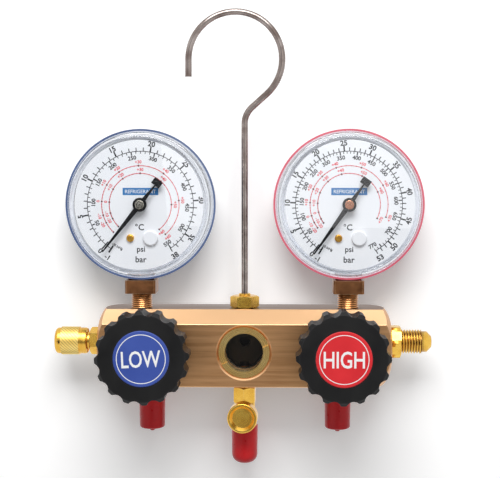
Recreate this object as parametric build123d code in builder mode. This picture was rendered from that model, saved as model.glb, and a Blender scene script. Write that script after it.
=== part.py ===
from build123d import *
import os
from math import atan2, cos, degrees, hypot, pi, radians, sin, sqrt, tan

# Two-valve refrigerant manifold: a brass block that carries two dial gauges, two handwheel valves,
# a sight glass, hose and service ports and a hanging hook. Millimetres, +X right, +Y back, +Z up.
# The origin is the centre of the block's back face. "Forward" is a distance in front of it, so -Y.

os.makedirs("parts", exist_ok=True)

# ------------------------------------------------------------ fits
screw_gap = 0.05  # round a screwed or pushed joint
running_gap = 0.05  # round a shaft that turns or slides
tight_gap = 0.02  # round a piece held tight
clear_gap = 0.3  # between pieces that pass each other
overrun = 1.0  # how far a cut starts outside the metal
corner_margin = 0.1  # how far a turning cone starts outside a hexagon's corners

# ------------------------------------------------------------ manifold block
block_length = 135.0
block_height = 35.0
block_depth = 26.7
block_chamfer = 6.3
block_edge = 0.4
end_face_radius = 9.0  # flat left round each end port
turning_allowance = 0.2
port_z = 1.8  # end ports and rear gallery, above the block's middle
gallery_forward = 5.0  # rear gallery that joins both valve seats
gallery_radius = 2.2
plug_length = 4.0
plug_inset = 0.1
passage_radius = 2.5  # from the ports to the valve chambers

# ------------------------------------------------------------ flare ports
flare_thread_radius = 5.556  # 7/16 in thread of the quarter inch flare
flare_thread_length = 9.3
flare_nose_radius = 4.8
flare_nose_length = 2.6
flare_lip_radius = 2.7
flare_neck_radius = 4.1
port_bore_radius = 2.3
spigot_radius = 5.0
spigot_length = 9.0
hex_face_inset = 0.2
hex_bevel_angle = 30.0
right_port_flats = 14.0
right_port_hex_length = 4.7
right_port_turn = 30.0
left_port_flats = 11.0
left_port_hex_length = 4.3
left_port_turn = 10.0
left_port_neck_length = 1.9
left_port_thread_length = 7.6
hose_port_x = 43.2
hose_port_flats = 12.0
hose_port_hex_length = 6.5
hose_port_turn = 0.0

# ------------------------------------------------------------ knurled cap of the left port
knurled_cap_radius = 6.5
knurled_cap_stand_off = 1.4  # from the port's hexagon
knurled_cap_skirt_radius = 6.05
knurled_cap_skirt_length = 3.6
knurled_cap_knurl_length = 8.3
knurled_cap_end_length = 2.9
knurled_cap_end_round = 1.6
knurled_cap_floor = 1.8
knurled_cap_chamfer = 0.6
knurled_cap_lip = 0.3
cap_hole_radius = 0.75
cap_hole_depth = 1.0
cap_hole_setback = 1.0

# ------------------------------------------------------------ red vinyl caps
vinyl_wall = 0.5
vinyl_taper = 0.25
vinyl_gap = 0.06
side_cap_length = 16.0
side_cap_cone = 1.8
side_cap_nub_radius = 1.3
side_cap_nub_end_radius = 0.91
side_cap_nub_height = 0.6
side_cap_round = 1.0
centre_cap_length = 17.5
centre_cap_round = 4.0
vinyl_floor = 1.8
vinyl_floor_taper = 1.5

# ------------------------------------------------------------ centre tee
tee_turn = 3.5  # the branch points this far to the left of straight ahead
tee_spigot_radius = 4.0
tee_spigot_length = 6.0
tee_neck_length = 2.0
tee_flats = 9.8
tee_hex_turn = 30.0
tee_hex_length = 7.5
tee_body_radius = 4.8
tee_body_length = 10.3
branch_drop = 14.1  # branch axis below the block
branch_boss_radius = 4.6
branch_boss_length = 7.2
branch_thread_radius = 3.5
branch_length = 12.0
branch_bore_radius = 1.6
branch_cap_radius = 6.8
branch_cap_length = 7.1
branch_cap_floor = 2.3
branch_cap_gap = 0.2
branch_dish_mouth = 5.7
branch_dish_floor = 4.5
branch_dish_depth = 1.3
branch_cap_edge = 0.5

# ------------------------------------------------------------ sight glass
sight_z = -1.6
sight_bore_radius = 11.65
sight_mouth_radius = 12.7
sight_ring_bore = 8.7
sight_ring_length = 3.4
sight_ring_recess = 0.5
sight_slot_width = 2.4
sight_slot_depth = 1.2
sight_slot_turn = 22.7
sight_glass_thickness = 3.0
sight_glass_gap = 0.15
sight_seal_minor = 0.75
sight_cavity_radius = 8.2
sight_cavity_length = 5.1
sight_inlet_radius = 2.3

# ------------------------------------------------------------ valves
valve_x = 43.8
valve_z = -0.5
seat_radius = 2.0
chamber_radius = 5.0
chamber_back = 9.0
chamber_length = 8.0
bonnet_radius = 7.0
bonnet_flats = 16.0
bonnet_hex_length = 5.0
bonnet_neck_radius = 6.0
bonnet_neck_length = 3.3
stem_radius = 4.0
stem_nose_radius = 3.4
stem_tip_radius = 1.5
stem_tip_gap = 0.2
stem_cone_length = 3.2
stem_square = 5.6
groove_radius = 3.0
groove_width = 1.2
groove_forward = 21.0
stem_seal_minor = 0.5
screw_radius = 1.2
screw_length = 7.0
screw_head_radius = 3.6
screw_head_height = 2.0

# ------------------------------------------------------------ handwheels
knob_radius = 20.7
knob_thickness = 14.0
knob_lobes = 16
knob_scallop_depth = 2.0
knob_scallop_radius = 2.95
knob_lobe_round = 0.9
knob_gap = 2.0  # from the bonnet's neck when the valve is shut
knob_front_bevel = 1.6
knob_back_bevel = 1.4
knob_hub_radius = 6.2
knob_shell = 1.7
knob_face_thickness = 4.0
knob_rib = 1.6
knob_turns = {"low": 3.0, "high": 0.0}
label_radius = 12.25
label_thickness = 1.2
label_recess = 0.7
label_edge = 0.3

# ------------------------------------------------------------ hanging hook
wire_radius = 1.5
hook_radius = 21.5
hook_centre_x = -4.3
hook_centre_rise = 114.4  # above the block's top
hook_lean = 48.0  # slope of the wire below the bow, from the vertical
hook_neck_radius = 10.0
hook_tip_length = 8.0
hook_head_radius = 2.8
hook_head_height = 1.6
hook_nut_flats = 11.6
hook_nut_height = 5.6
hook_nut_spigot_radius = 4.5
hook_nut_spigot_length = 4.5
hook_nut_dome_radius = 2.7
hook_nut_dome_height = 1.0

# ------------------------------------------------------------ dial gauges
gauge_x = 47.8
gauge_rise = 47.8
case_radius = 32.8
case_wall = 0.9
case_back = 2.0
case_mouth = 17.0
case_corner = 3.0
flange_overhang = 1.8
flange_thickness = 1.2
window_foot_inset = 0.9
window_taper = 2.5
window_height = 8.5
window_thickness = 1.6
window_bevel = 0.8
window_corner = 0.2
lip_length = 1.4
lip_wall = 1.2
lip_gap = 0.15
dial_gap = 0.25
dial_thickness = 0.8
dial_hole_radius = 2.0
dial_screw_x = 4.7
dial_screw_drop = 15.4
dial_screw_radius = 0.8
dial_screw_head_radius = 1.75
dial_screw_head_height = 1.1
dial_stud_head_radius = 3.5
dial_stud_head_height = 1.3
socket_square = 14.0
socket_square_edge = 0.8
socket_square_drop = 40.9
socket_top_gap = 0.2
socket_neck_radius = 4.85
socket_engagement = 7.0
socket_passage_radius = 1.5
tang_width = 12.0
tang_gap = 0.2
tang_top_drop = 15.5
tube_radius = 22.0
tube_wall = 0.4
tube_thickness = 3.0
tube_width = 6.4
tube_round = 1.3
tube_forward = 10.0
tube_start = -84.0
tube_sweep = 274.0
tube_tip_sweep = 6.0
plenum_sweep = 13.0

# ------------------------------------------------------------ gauge movement
plate_thickness = 1.0
plate_back = 5.2
plate_front = 14.6
gear_module = 0.4
pinion_teeth = 10
sector_wheel_teeth = 70
sector_teeth = 12
sector_teeth_above = 2
addendum_share = 0.8
dedendum_share = 1.2
tooth_tip_half = 0.13
tooth_root_half = 0.37
tooth_sink = 0.3  # how far a tooth is rooted in its wheel, in modules
sector_direction = 220.0
gear_forward = 9.6
gear_thickness = 1.2
sector_rim = 1.8
sector_arm = 1.6
sector_hub_radius = 2.6
tail_direction = 110.0
tail_length = 5.0
tail_width = 2.2
eye_radius = 1.5
tail_pin_radius = 0.6
link_forward = 13.6
link_thickness = 0.8
arbor_radius = 0.75
arbor_end_gap = 0.4
arbor_front_gap = 0.1
pinion_overhang = 0.2
pillar_radius = 1.2
pillar_spots = ((4.6, 3.0), (-10.26, -13.74), (6.5, -6.5))
pillar_margin = 1.0
bearing_margin = 3.0

# ------------------------------------------------------------ pointers
pointer_angles = {"low": 231.4, "high": 234.6}
pointer_length = 27.7
pointer_tail = 14.4
pointer_head = 3.2
pointer_head_half = 2.2
pointer_root_half = 1.2
pointer_tip_half = 0.3
pointer_thickness = 0.5
pointer_ring_radius = 3.15
pointer_hub_radius = 2.13
pointer_rise = 2.2  # blade above the dial
pointer_ring_rise = 1.8
pointer_ring_height = 1.8
hub_rise = 1.4
hub_height = 2.6
hub_floor = 0.7

# ------------------------------------------------------------ derived places
half_length = block_length / 2
top_z = block_height / 2
bottom_z = -block_height / 2
mid_forward = block_depth / 2
end_round = hypot(mid_forward, top_z) + turning_allowance - end_face_radius
gauge_z = top_z + gauge_rise
sides = {"low": -1, "high": 1}

UP = (0, 0, 1)
DOWN = (0, 0, -1)
FRONT = (0, -1, 0)
RIGHT = (1, 0, 0)
LEFT = (-1, 0, 0)

ring_front = block_depth - sight_ring_recess
ring_back = ring_front - sight_ring_length
glass_back = ring_back - sight_glass_thickness
seal_back = glass_back - 2 * sight_seal_minor
bonnet_spigot = block_depth - chamber_back - chamber_length
bonnet_front = block_depth + bonnet_hex_length + bonnet_neck_length
knob_back = bonnet_front + knob_gap
knob_front = knob_back + knob_thickness
label_back = knob_front - label_recess
screw_seat = label_back - screw_head_height - clear_gap
branch_z = bottom_z - branch_drop
tee_turned = tee_neck_length + tee_hex_length + tee_body_length
dial_back = case_mouth - dial_thickness
flange_radius = case_radius + flange_overhang
window_foot_radius = flange_radius - window_foot_inset
window_front_radius = window_foot_radius - window_taper


# ------------------------------------------------------------ helpers
def at(x, forward, z):
    """A point from its station along the block, its forward distance and its height."""
    return (x, -forward, z)


def polar(radius, angle, centre=(0.0, 0.0)):
    """A point at a radius and an angle in degrees from a centre, in a face-on sketch."""
    return (centre[0] + radius * cos(radians(angle)), centre[1] + radius * sin(radians(angle)))


def face_on(x, forward, z):
    """A plane that looks out of the front, its x along the block and its y up."""
    return Plane(origin=at(x, forward, z), x_dir=RIGHT, z_dir=FRONT)


def along(point, outward, distance):
    """A point moved along a direction."""
    return tuple(Vector(*point) + Vector(*outward) * distance)


def spin(points, origin, outward, rounds=(), mode=Mode.ADD):
    """Turn a closed outline of (radius, distance along outward) points about its axis."""
    radial = UP if outward in (RIGHT, LEFT) else RIGHT
    if outward not in (RIGHT, LEFT, UP, DOWN, FRONT):
        radial = (-outward[1], outward[0], 0)
    normal = Vector(*radial).cross(Vector(*outward))
    with BuildSketch(Plane(origin=origin, x_dir=radial, z_dir=normal)) as outline:
        with BuildLine():
            Polyline(*points, close=True)
        make_face()
        for corner, size in rounds:
            fillet(outline.vertices().sort_by_distance(corner)[0], size)
    revolve(outline.sketch, axis=Axis(origin, outward), mode=mode)


def bore(mouth, outward, radius, depth):
    """A round hole from its mouth back into the metal."""
    with BuildSketch(Plane(origin=mouth, z_dir=outward)) as circle:
        Circle(radius)
    extrude(circle.sketch, amount=-depth, mode=Mode.SUBTRACT)


def rod(base, outward, radius, length):
    """A round rod from its base."""
    with BuildSketch(Plane(origin=base, z_dir=outward)) as circle:
        Circle(radius)
    extrude(circle.sketch, amount=length)


def hexagon(base, outward, flats, length, turn=0.0):
    """A hexagonal collar with turned ends, the first feature of its piece."""
    radial = UP if outward in (RIGHT, LEFT) else RIGHT
    corner = flats / sqrt(3) + corner_margin
    face = flats / 2 - hex_face_inset
    fall = (corner - face) * tan(radians(hex_bevel_angle))
    with BuildSketch(Plane(origin=base, x_dir=radial, z_dir=outward)) as section:
        RegularPolygon(flats / 2, 6, major_radius=False, rotation=turn)
    extrude(section.sketch, amount=length)
    cone = [(0, 0), (face, 0), (corner, fall), (corner, length - fall), (face, length), (0, length)]
    spin(cone, base, outward, mode=Mode.INTERSECT)


def finish(piece, name):
    """Label a finished piece and write it."""
    piece.part.label = name
    export_step(piece.part, f"parts/{name}.step")


# ------------------------------------------------------------ block and sight glass
with BuildPart() as manifold_block:
    with BuildSketch(Plane.YZ) as section:
        with BuildLine():
            Polyline(
                (0, bottom_z),
                (0, top_z),
                (-(block_depth - block_chamfer), top_z),
                (-block_depth, top_z - block_chamfer),
                (-block_depth, bottom_z),
                close=True,
            )
        make_face()
        fillet(section.vertices(), block_edge)
    extrude(amount=half_length, both=True)
    turned_radius = end_face_radius + end_round
    blank = [(0, -half_length), (turned_radius, -half_length), (turned_radius, half_length), (0, half_length)]
    blank_rounds = [(blank[1], end_round), (blank[2], end_round)]
    spin(blank, at(0, mid_forward, 0), RIGHT, rounds=blank_rounds, mode=Mode.INTERSECT)
    for side in sides.values():
        outward = RIGHT if side > 0 else LEFT
        end = at(side * half_length, mid_forward, port_z)
        bore(end, outward, spigot_radius + screw_gap, spigot_length)
        bore(end, outward, port_bore_radius, half_length - valve_x)
        valve = at(side * valve_x, block_depth, valve_z)
        bore(valve, FRONT, bonnet_radius + screw_gap, bonnet_spigot)
        bore(valve, FRONT, chamber_radius, bonnet_spigot + chamber_length)
        bore(valve, FRONT, seat_radius, block_depth - gallery_forward)
        gauge = at(side * gauge_x, mid_forward, top_z)
        bore(gauge, UP, socket_neck_radius + screw_gap, socket_engagement)
        bore(gauge, UP, socket_passage_radius, top_z - port_z)
        hose = at(side * hose_port_x, mid_forward, bottom_z)
        bore(hose, DOWN, spigot_radius + screw_gap, spigot_length)
        bore(hose, DOWN, passage_radius, port_z - bottom_z)
    sight = at(0, block_depth, sight_z)
    mouth = [
        (0, 0),
        (sight_mouth_radius, 0),
        (sight_bore_radius, sight_bore_radius - sight_mouth_radius),
        (0, sight_bore_radius - sight_mouth_radius),
    ]
    spin(mouth, sight, FRONT, mode=Mode.SUBTRACT)
    bore(sight, FRONT, sight_bore_radius, block_depth - seal_back)
    bore(sight, FRONT, sight_cavity_radius, block_depth - seal_back + sight_cavity_length)
    inlet = at(0, block_depth, port_z)
    bore(inlet, FRONT, sight_inlet_radius, block_depth - gallery_forward)
    tee_mouth = at(0, mid_forward, bottom_z)
    bore(tee_mouth, DOWN, tee_spigot_radius + screw_gap, tee_spigot_length)
    tee_passage = sight_z - sight_cavity_radius - bottom_z + 2 * overrun
    bore(tee_mouth, DOWN, port_bore_radius, tee_passage)
    hook_mouth = at(0, mid_forward, top_z)
    hook_pocket = hook_nut_spigot_length + hook_head_height + 2 * clear_gap
    bore(hook_mouth, UP, hook_nut_spigot_radius + screw_gap, hook_pocket)
    plug_mouth = at(half_length, gallery_forward, port_z)
    bore(plug_mouth, RIGHT, gallery_radius, half_length + valve_x)
finish(manifold_block, "manifold_block")

with BuildPart() as gallery_plug:
    plug_base = at(half_length - plug_length - plug_inset, gallery_forward, port_z)
    rod(plug_base, RIGHT, gallery_radius - tight_gap, plug_length)
finish(gallery_plug, "gallery_plug")

with BuildPart() as sight_seal:
    with BuildSketch(Plane(origin=at(0, 0, sight_z), x_dir=RIGHT, z_dir=DOWN)) as section:
        with Locations((sight_bore_radius - sight_seal_minor - clear_gap, seal_back + sight_seal_minor)):
            Circle(sight_seal_minor)
    revolve(section.sketch, axis=Axis(at(0, 0, sight_z), FRONT))
finish(sight_seal, "sight_glass_seal")

with BuildPart() as sight_glass:
    rod(at(0, glass_back, sight_z), FRONT, sight_bore_radius - sight_glass_gap, sight_glass_thickness)
finish(sight_glass, "sight_glass")

with BuildPart() as sight_ring:
    rod(at(0, ring_back, sight_z), FRONT, sight_bore_radius - screw_gap, sight_ring_length)
    bore(at(0, ring_front, sight_z), FRONT, sight_ring_bore, sight_ring_length)
    with BuildSketch(face_on(0, ring_front, sight_z)) as slots:
        Rectangle(3 * sight_bore_radius, sight_slot_width, rotation=sight_slot_turn)
    extrude(slots.sketch, amount=-sight_slot_depth, mode=Mode.SUBTRACT)
finish(sight_ring, "sight_glass_ring")


# ------------------------------------------------------------ flare ports
flare_cone = flare_nose_radius - flare_lip_radius


def flare(mouth, outward, start, thread):
    """The threaded end of a port with its flare nose."""
    nose = start + thread
    face = nose + flare_nose_length
    outline = [
        (0, start),
        (flare_thread_radius, start),
        (flare_thread_radius, nose),
        (flare_nose_radius, nose),
        (flare_nose_radius, face),
        (flare_lip_radius, face + flare_cone),
        (0, face + flare_cone),
    ]
    spin(outline, mouth, outward)
    return face + flare_cone


def flare_port(name, mouth, outward, flats, hex_length, turn, neck, thread):
    """A male flare port: spigot, hexagon, optional neck and threaded nose."""
    with BuildPart() as port:
        hexagon(mouth, outward, flats, hex_length, turn)
        rod(along(mouth, outward, -spigot_length), outward, spigot_radius, spigot_length)
        if neck > 0:
            rod(along(mouth, outward, hex_length), outward, flare_neck_radius, neck)
        reach = flare(mouth, outward, hex_length + neck, thread)
        bore(along(mouth, outward, reach), outward, port_bore_radius, reach + spigot_length)
    finish(port, name)


right_mouth = at(half_length, mid_forward, port_z)
left_mouth = at(-half_length, mid_forward, port_z)
centre_mouth = at(0, mid_forward, bottom_z)
flare_port(
    "right_end_port",
    right_mouth,
    RIGHT,
    right_port_flats,
    right_port_hex_length,
    right_port_turn,
    0.0,
    flare_thread_length,
)
flare_port(
    "left_end_port",
    left_mouth,
    LEFT,
    left_port_flats,
    left_port_hex_length,
    left_port_turn,
    left_port_neck_length,
    left_port_thread_length,
)

with BuildPart() as centre_tee:
    neck_end = tee_neck_length + tee_hex_length
    hex_base = along(centre_mouth, DOWN, tee_neck_length)
    hexagon(hex_base, DOWN, tee_flats, tee_hex_length, tee_hex_turn + tee_turn)
    rod(along(centre_mouth, DOWN, -tee_spigot_length), DOWN, tee_spigot_radius, tee_spigot_length + neck_end)
    rod(along(centre_mouth, DOWN, neck_end), DOWN, tee_body_radius, tee_body_length)
    reach = flare(centre_mouth, DOWN, tee_turned, flare_thread_length)
    branch_out = (-sin(radians(tee_turn)), -cos(radians(tee_turn)), 0)
    branch_mouth = at(0, mid_forward, branch_z)
    rod(branch_mouth, branch_out, branch_boss_radius, branch_boss_length)
    rod(branch_mouth, branch_out, branch_thread_radius, branch_length)
    bore(along(centre_mouth, DOWN, reach), DOWN, port_bore_radius, reach + tee_spigot_length)
    bore(along(branch_mouth, branch_out, branch_length), branch_out, branch_bore_radius, branch_length)
finish(centre_tee, "centre_port_tee")

with BuildPart() as left_cap:
    skirt = left_port_hex_length + knurled_cap_stand_off
    knurl = skirt + knurled_cap_skirt_length
    shoulder = knurl + knurled_cap_knurl_length
    end = shoulder + knurled_cap_end_length
    hollow = flare_thread_radius + vinyl_gap
    floor = end - knurled_cap_floor
    outline = [
        (hollow, skirt),
        (knurled_cap_skirt_radius - knurled_cap_lip, skirt),
        (knurled_cap_skirt_radius, skirt + knurled_cap_chamfer),
        (knurled_cap_skirt_radius, knurl),
        (knurled_cap_radius, knurl),
        (knurled_cap_radius, shoulder),
        (knurled_cap_skirt_radius, shoulder),
        (knurled_cap_skirt_radius, end),
        (0, end),
        (0, floor),
        (hollow, floor),
    ]
    rounds = [((knurled_cap_skirt_radius, end), knurled_cap_end_round)]
    spin(outline, left_mouth, LEFT, rounds=rounds)
    hole = along(along(left_mouth, LEFT, shoulder + cap_hole_setback), FRONT, knurled_cap_skirt_radius)
    bore(hole, FRONT, cap_hole_radius, cap_hole_depth)
finish(left_cap, "left_port_cap")

with BuildPart() as branch_cap:
    back = branch_boss_length + branch_cap_gap
    front = back + branch_cap_length
    hollow = branch_thread_radius + vinyl_gap
    floor = front - branch_cap_floor
    outline = [
        (hollow, back),
        (branch_cap_radius, back),
        (branch_cap_radius, front),
        (branch_dish_mouth, front),
        (branch_dish_floor, front - branch_dish_depth),
        (0, front - branch_dish_depth),
        (0, floor),
        (hollow, floor),
    ]
    edges = [((branch_cap_radius, back), branch_cap_edge), ((branch_cap_radius, front), branch_cap_edge)]
    spin(outline, branch_mouth, branch_out, rounds=edges)
finish(branch_cap, "branch_cap")


# ------------------------------------------------------------ vinyl caps
def vinyl_cap(name, mouth, start, length, tail, rounds):
    """A soft push-on cap: slightly tapered, with a closed end of its own form."""
    end = start + length
    hollow = flare_thread_radius + vinyl_gap
    outer = hollow + vinyl_wall
    floor = end - vinyl_floor
    outline = [(hollow, start), (outer, start)]
    outline += [(radius, end - back) for radius, back in tail]
    outline += [(0, floor), (hollow - vinyl_floor_taper, floor), (hollow, floor - vinyl_floor_taper)]
    placed = [((radius, end - back), size) for radius, back, size in rounds]
    with BuildPart() as cap:
        spin(outline, mouth, DOWN, rounds=placed)
    finish(cap, name)


outer_end = flare_thread_radius + vinyl_gap + vinyl_wall - vinyl_taper
dome_tail = [(outer_end, 0), (0, 0)]
dome_rounds = [(outer_end, 0, centre_cap_round)]
vinyl_cap("centre_port_cap", centre_mouth, tee_turned + clear_gap, centre_cap_length, dome_tail, dome_rounds)

cone_tail = [
    (outer_end, side_cap_cone),
    (side_cap_nub_radius, side_cap_nub_height),
    (side_cap_nub_end_radius, 0),
    (0, 0),
]
cone_rounds = [(outer_end, side_cap_cone, side_cap_round)]


# ------------------------------------------------------------ valves
def valve(name, x, turns):
    """One valve: bonnet, stem, sealing ring, handwheel, its screw and its label."""
    base = at(x, block_depth, valve_z)
    axis_point = at(x, 0, valve_z)
    with BuildPart() as bonnet:
        hexagon(base, FRONT, bonnet_flats, bonnet_hex_length, 0.0)
        rod(along(base, FRONT, -bonnet_spigot), FRONT, bonnet_radius, bonnet_spigot)
        rod(along(base, FRONT, bonnet_hex_length), FRONT, bonnet_neck_radius, bonnet_neck_length)
        front = at(x, bonnet_front, valve_z)
        bore(front, FRONT, stem_radius + running_gap, bonnet_front)
    finish(bonnet, f"{name}_bonnet")

    tip = chamber_back + stem_tip_gap
    cone_end = tip + stem_cone_length
    groove_back = groove_forward - groove_width / 2
    guide = chamber_back + chamber_length
    with BuildPart() as stem:
        outline = [
            (0, tip),
            (stem_tip_radius, tip),
            (stem_nose_radius, cone_end),
            (stem_nose_radius, guide),
            (stem_radius, guide),
            (stem_radius, groove_back),
            (groove_radius, groove_back),
            (groove_radius, groove_back + groove_width),
            (stem_radius, groove_back + groove_width),
            (stem_radius, knob_back),
            (0, knob_back),
        ]
        spin(outline, axis_point, FRONT)
        with BuildSketch(face_on(x, knob_back, valve_z)) as square:
            Rectangle(stem_square, stem_square, rotation=turns)
        extrude(square.sketch, amount=screw_seat - knob_back)
        bore(at(x, screw_seat, valve_z), FRONT, screw_radius + screw_gap, screw_length)
    finish(stem, f"{name}_valve_stem")

    with BuildPart() as ring:
        with BuildSketch(Plane(origin=axis_point, x_dir=RIGHT, z_dir=DOWN)) as section:
            with Locations((groove_radius + stem_seal_minor + tight_gap, groove_forward)):
                Circle(stem_seal_minor)
        revolve(section.sketch, axis=Axis(axis_point, FRONT))
    finish(ring, f"{name}_stem_seal")

    with BuildPart() as knob:
        plane = face_on(x, knob_back, valve_z)
        scallop = knob_radius - knob_scallop_depth + knob_scallop_radius
        with BuildSketch(plane) as lobes:
            Circle(knob_radius)
            with PolarLocations(scallop, knob_lobes, start_angle=turns + 180 / knob_lobes):
                Circle(knob_scallop_radius, mode=Mode.SUBTRACT)
            fillet(lobes.vertices(), knob_lobe_round)
        extrude(lobes.sketch, amount=knob_thickness)
        outline = [
            (0, 0),
            (knob_radius - knob_back_bevel, 0),
            (knob_radius, knob_back_bevel),
            (knob_radius, knob_thickness - knob_front_bevel),
            (knob_radius - knob_front_bevel, knob_thickness),
            (0, knob_thickness),
        ]
        spin(outline, along(axis_point, FRONT, knob_back), FRONT, mode=Mode.INTERSECT)
        inner = knob_radius - knob_scallop_depth - knob_shell
        with BuildSketch(plane) as hollow:
            Circle(inner)
            Circle(knob_hub_radius, mode=Mode.SUBTRACT)
            for quarter in (0, 90):
                Rectangle(3 * inner, knob_rib, rotation=turns + quarter, mode=Mode.SUBTRACT)
        extrude(hollow.sketch, amount=knob_thickness - knob_face_thickness, mode=Mode.SUBTRACT)
        with BuildSketch(plane) as square:
            Rectangle(stem_square + 2 * screw_gap, stem_square + 2 * screw_gap, rotation=turns)
        extrude(square.sketch, amount=screw_seat - knob_back, mode=Mode.SUBTRACT)
        face = at(x, knob_front, valve_z)
        bore(face, FRONT, label_radius + 2 * screw_gap, label_recess)
        bore(face, FRONT, screw_head_radius + 2 * clear_gap, knob_front - screw_seat)
    finish(knob, f"{name}_knob")

    with BuildPart() as screw:
        head_front = screw_seat + screw_head_height
        outline = [
            (0, screw_seat - screw_length + clear_gap),
            (screw_radius, screw_seat - screw_length + clear_gap),
            (screw_radius, screw_seat),
            (screw_head_radius, screw_seat),
            (screw_head_radius, head_front),
            (0, head_front),
        ]
        spin(outline, axis_point, FRONT, rounds=[((screw_head_radius, head_front), screw_head_height / 2)])
    finish(screw, f"{name}_knob_screw")

    with BuildPart() as label:
        label_front = label_back + label_thickness
        outline = [
            (0, label_back),
            (label_radius, label_back),
            (label_radius, label_front - label_edge),
            (label_radius - label_edge, label_front),
            (0, label_front),
        ]
        spin(outline, axis_point, FRONT)
    finish(label, f"{name}_knob_label")


# ------------------------------------------------------------ hanging hook
nut_base = at(0, mid_forward, top_z)
with BuildPart() as hanging_hook:
    head_top = top_z - hook_nut_spigot_length - 2 * screw_gap
    foot = head_top - hook_head_height
    centre_z = top_z + hook_centre_rise
    lean = radians(hook_lean)
    tangent_x = hook_centre_x + hook_radius * cos(lean)
    tangent_z = centre_z - hook_radius * sin(lean)
    corner_z = tangent_z - tangent_x / tan(lean)
    neck_z = corner_z - hook_neck_radius * tan(lean / 2)
    with BuildLine(face_on(0, mid_forward, 0)) as path:
        Line((0, foot), (0, neck_z))
        bend = CenterArc((hook_neck_radius, neck_z), hook_neck_radius, 180, -hook_lean)
        Line(bend @ 1, (tangent_x, tangent_z))
        CenterArc((hook_centre_x, centre_z), hook_radius, -hook_lean, 180 + hook_lean)
        tip_x = hook_centre_x - hook_radius
        Line((tip_x, centre_z), (tip_x, centre_z - hook_tip_length))
    with BuildSketch(Plane(origin=at(0, mid_forward, foot), z_dir=UP)) as wire:
        Circle(wire_radius)
    sweep(wire.sketch, path=path.wires()[0])
    rod(at(0, mid_forward, foot), UP, hook_head_radius, hook_head_height)
finish(hanging_hook, "hanging_hook")

with BuildPart() as hook_nut:
    hexagon(nut_base, UP, hook_nut_flats, hook_nut_height, 0.0)
    rod(along(nut_base, UP, -hook_nut_spigot_length), UP, hook_nut_spigot_radius, hook_nut_spigot_length)
    dome = hook_nut_height + hook_nut_dome_height
    rod(nut_base, UP, hook_nut_dome_radius, dome)
    bore(along(nut_base, UP, dome), UP, wire_radius + running_gap, dome + hook_nut_spigot_length)
finish(hook_nut, "hook_nut")


# ------------------------------------------------------------ gauges
pitch_angle = 360 / sector_wheel_teeth
pinion_pitch = gear_module * pinion_teeth / 2
sector_pitch = gear_module * sector_wheel_teeth / 2
gear_distance = pinion_pitch + sector_pitch
sector_centre = polar(gear_distance, sector_direction)
tail_end = polar(tail_length, tail_direction, sector_centre)
tube_tip = polar(tube_radius, tube_start + tube_sweep + tube_tip_sweep / 2)
plate_feet = ((-dial_screw_x, -dial_screw_drop), (dial_screw_x, -dial_screw_drop))


def tube_section(x, grow, hollow):
    """The tube's flattened section at angle zero."""
    with BuildSketch(Plane(origin=at(x, 0, gauge_z), x_dir=RIGHT, z_dir=DOWN)) as section:
        with Locations((tube_radius, tube_forward)):
            RectangleRounded(tube_thickness + 2 * grow, tube_width + 2 * grow, tube_round)
            if hollow:
                wall = 2 * tube_wall
                inner_round = tube_round - tube_wall
                RectangleRounded(tube_thickness - wall, tube_width - wall, inner_round, mode=Mode.SUBTRACT)
    return section.sketch


def tube_arc(x, section, start, sweep_angle, mode=Mode.ADD):
    """The section turned through part of the tube's bow, anticlockwise from the front."""
    axis = Axis(at(x, 0, gauge_z), FRONT)
    placed = section.rotate(axis, start)
    revolve(placed, axis=axis, revolution_arc=sweep_angle, mode=mode)


def tooth(radius, angle, centre):
    """A straight-flanked tooth on a wheel of this pitch radius."""
    pitch = pi * gear_module
    spots = (
        (radius - (dedendum_share + tooth_sink) * gear_module, tooth_root_half),
        (radius + addendum_share * gear_module, tooth_tip_half),
    )
    corners = []
    for distance, half in spots:
        for flank in (-half, half):
            spread = flank * 180 / (pi * distance)
            corners.append(polar(distance, angle + spread, centre))
    with BuildLine() as flanks:
        Polyline(corners[0], corners[2], corners[3], corners[1], close=True)
    make_face(flanks.edges())


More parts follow.
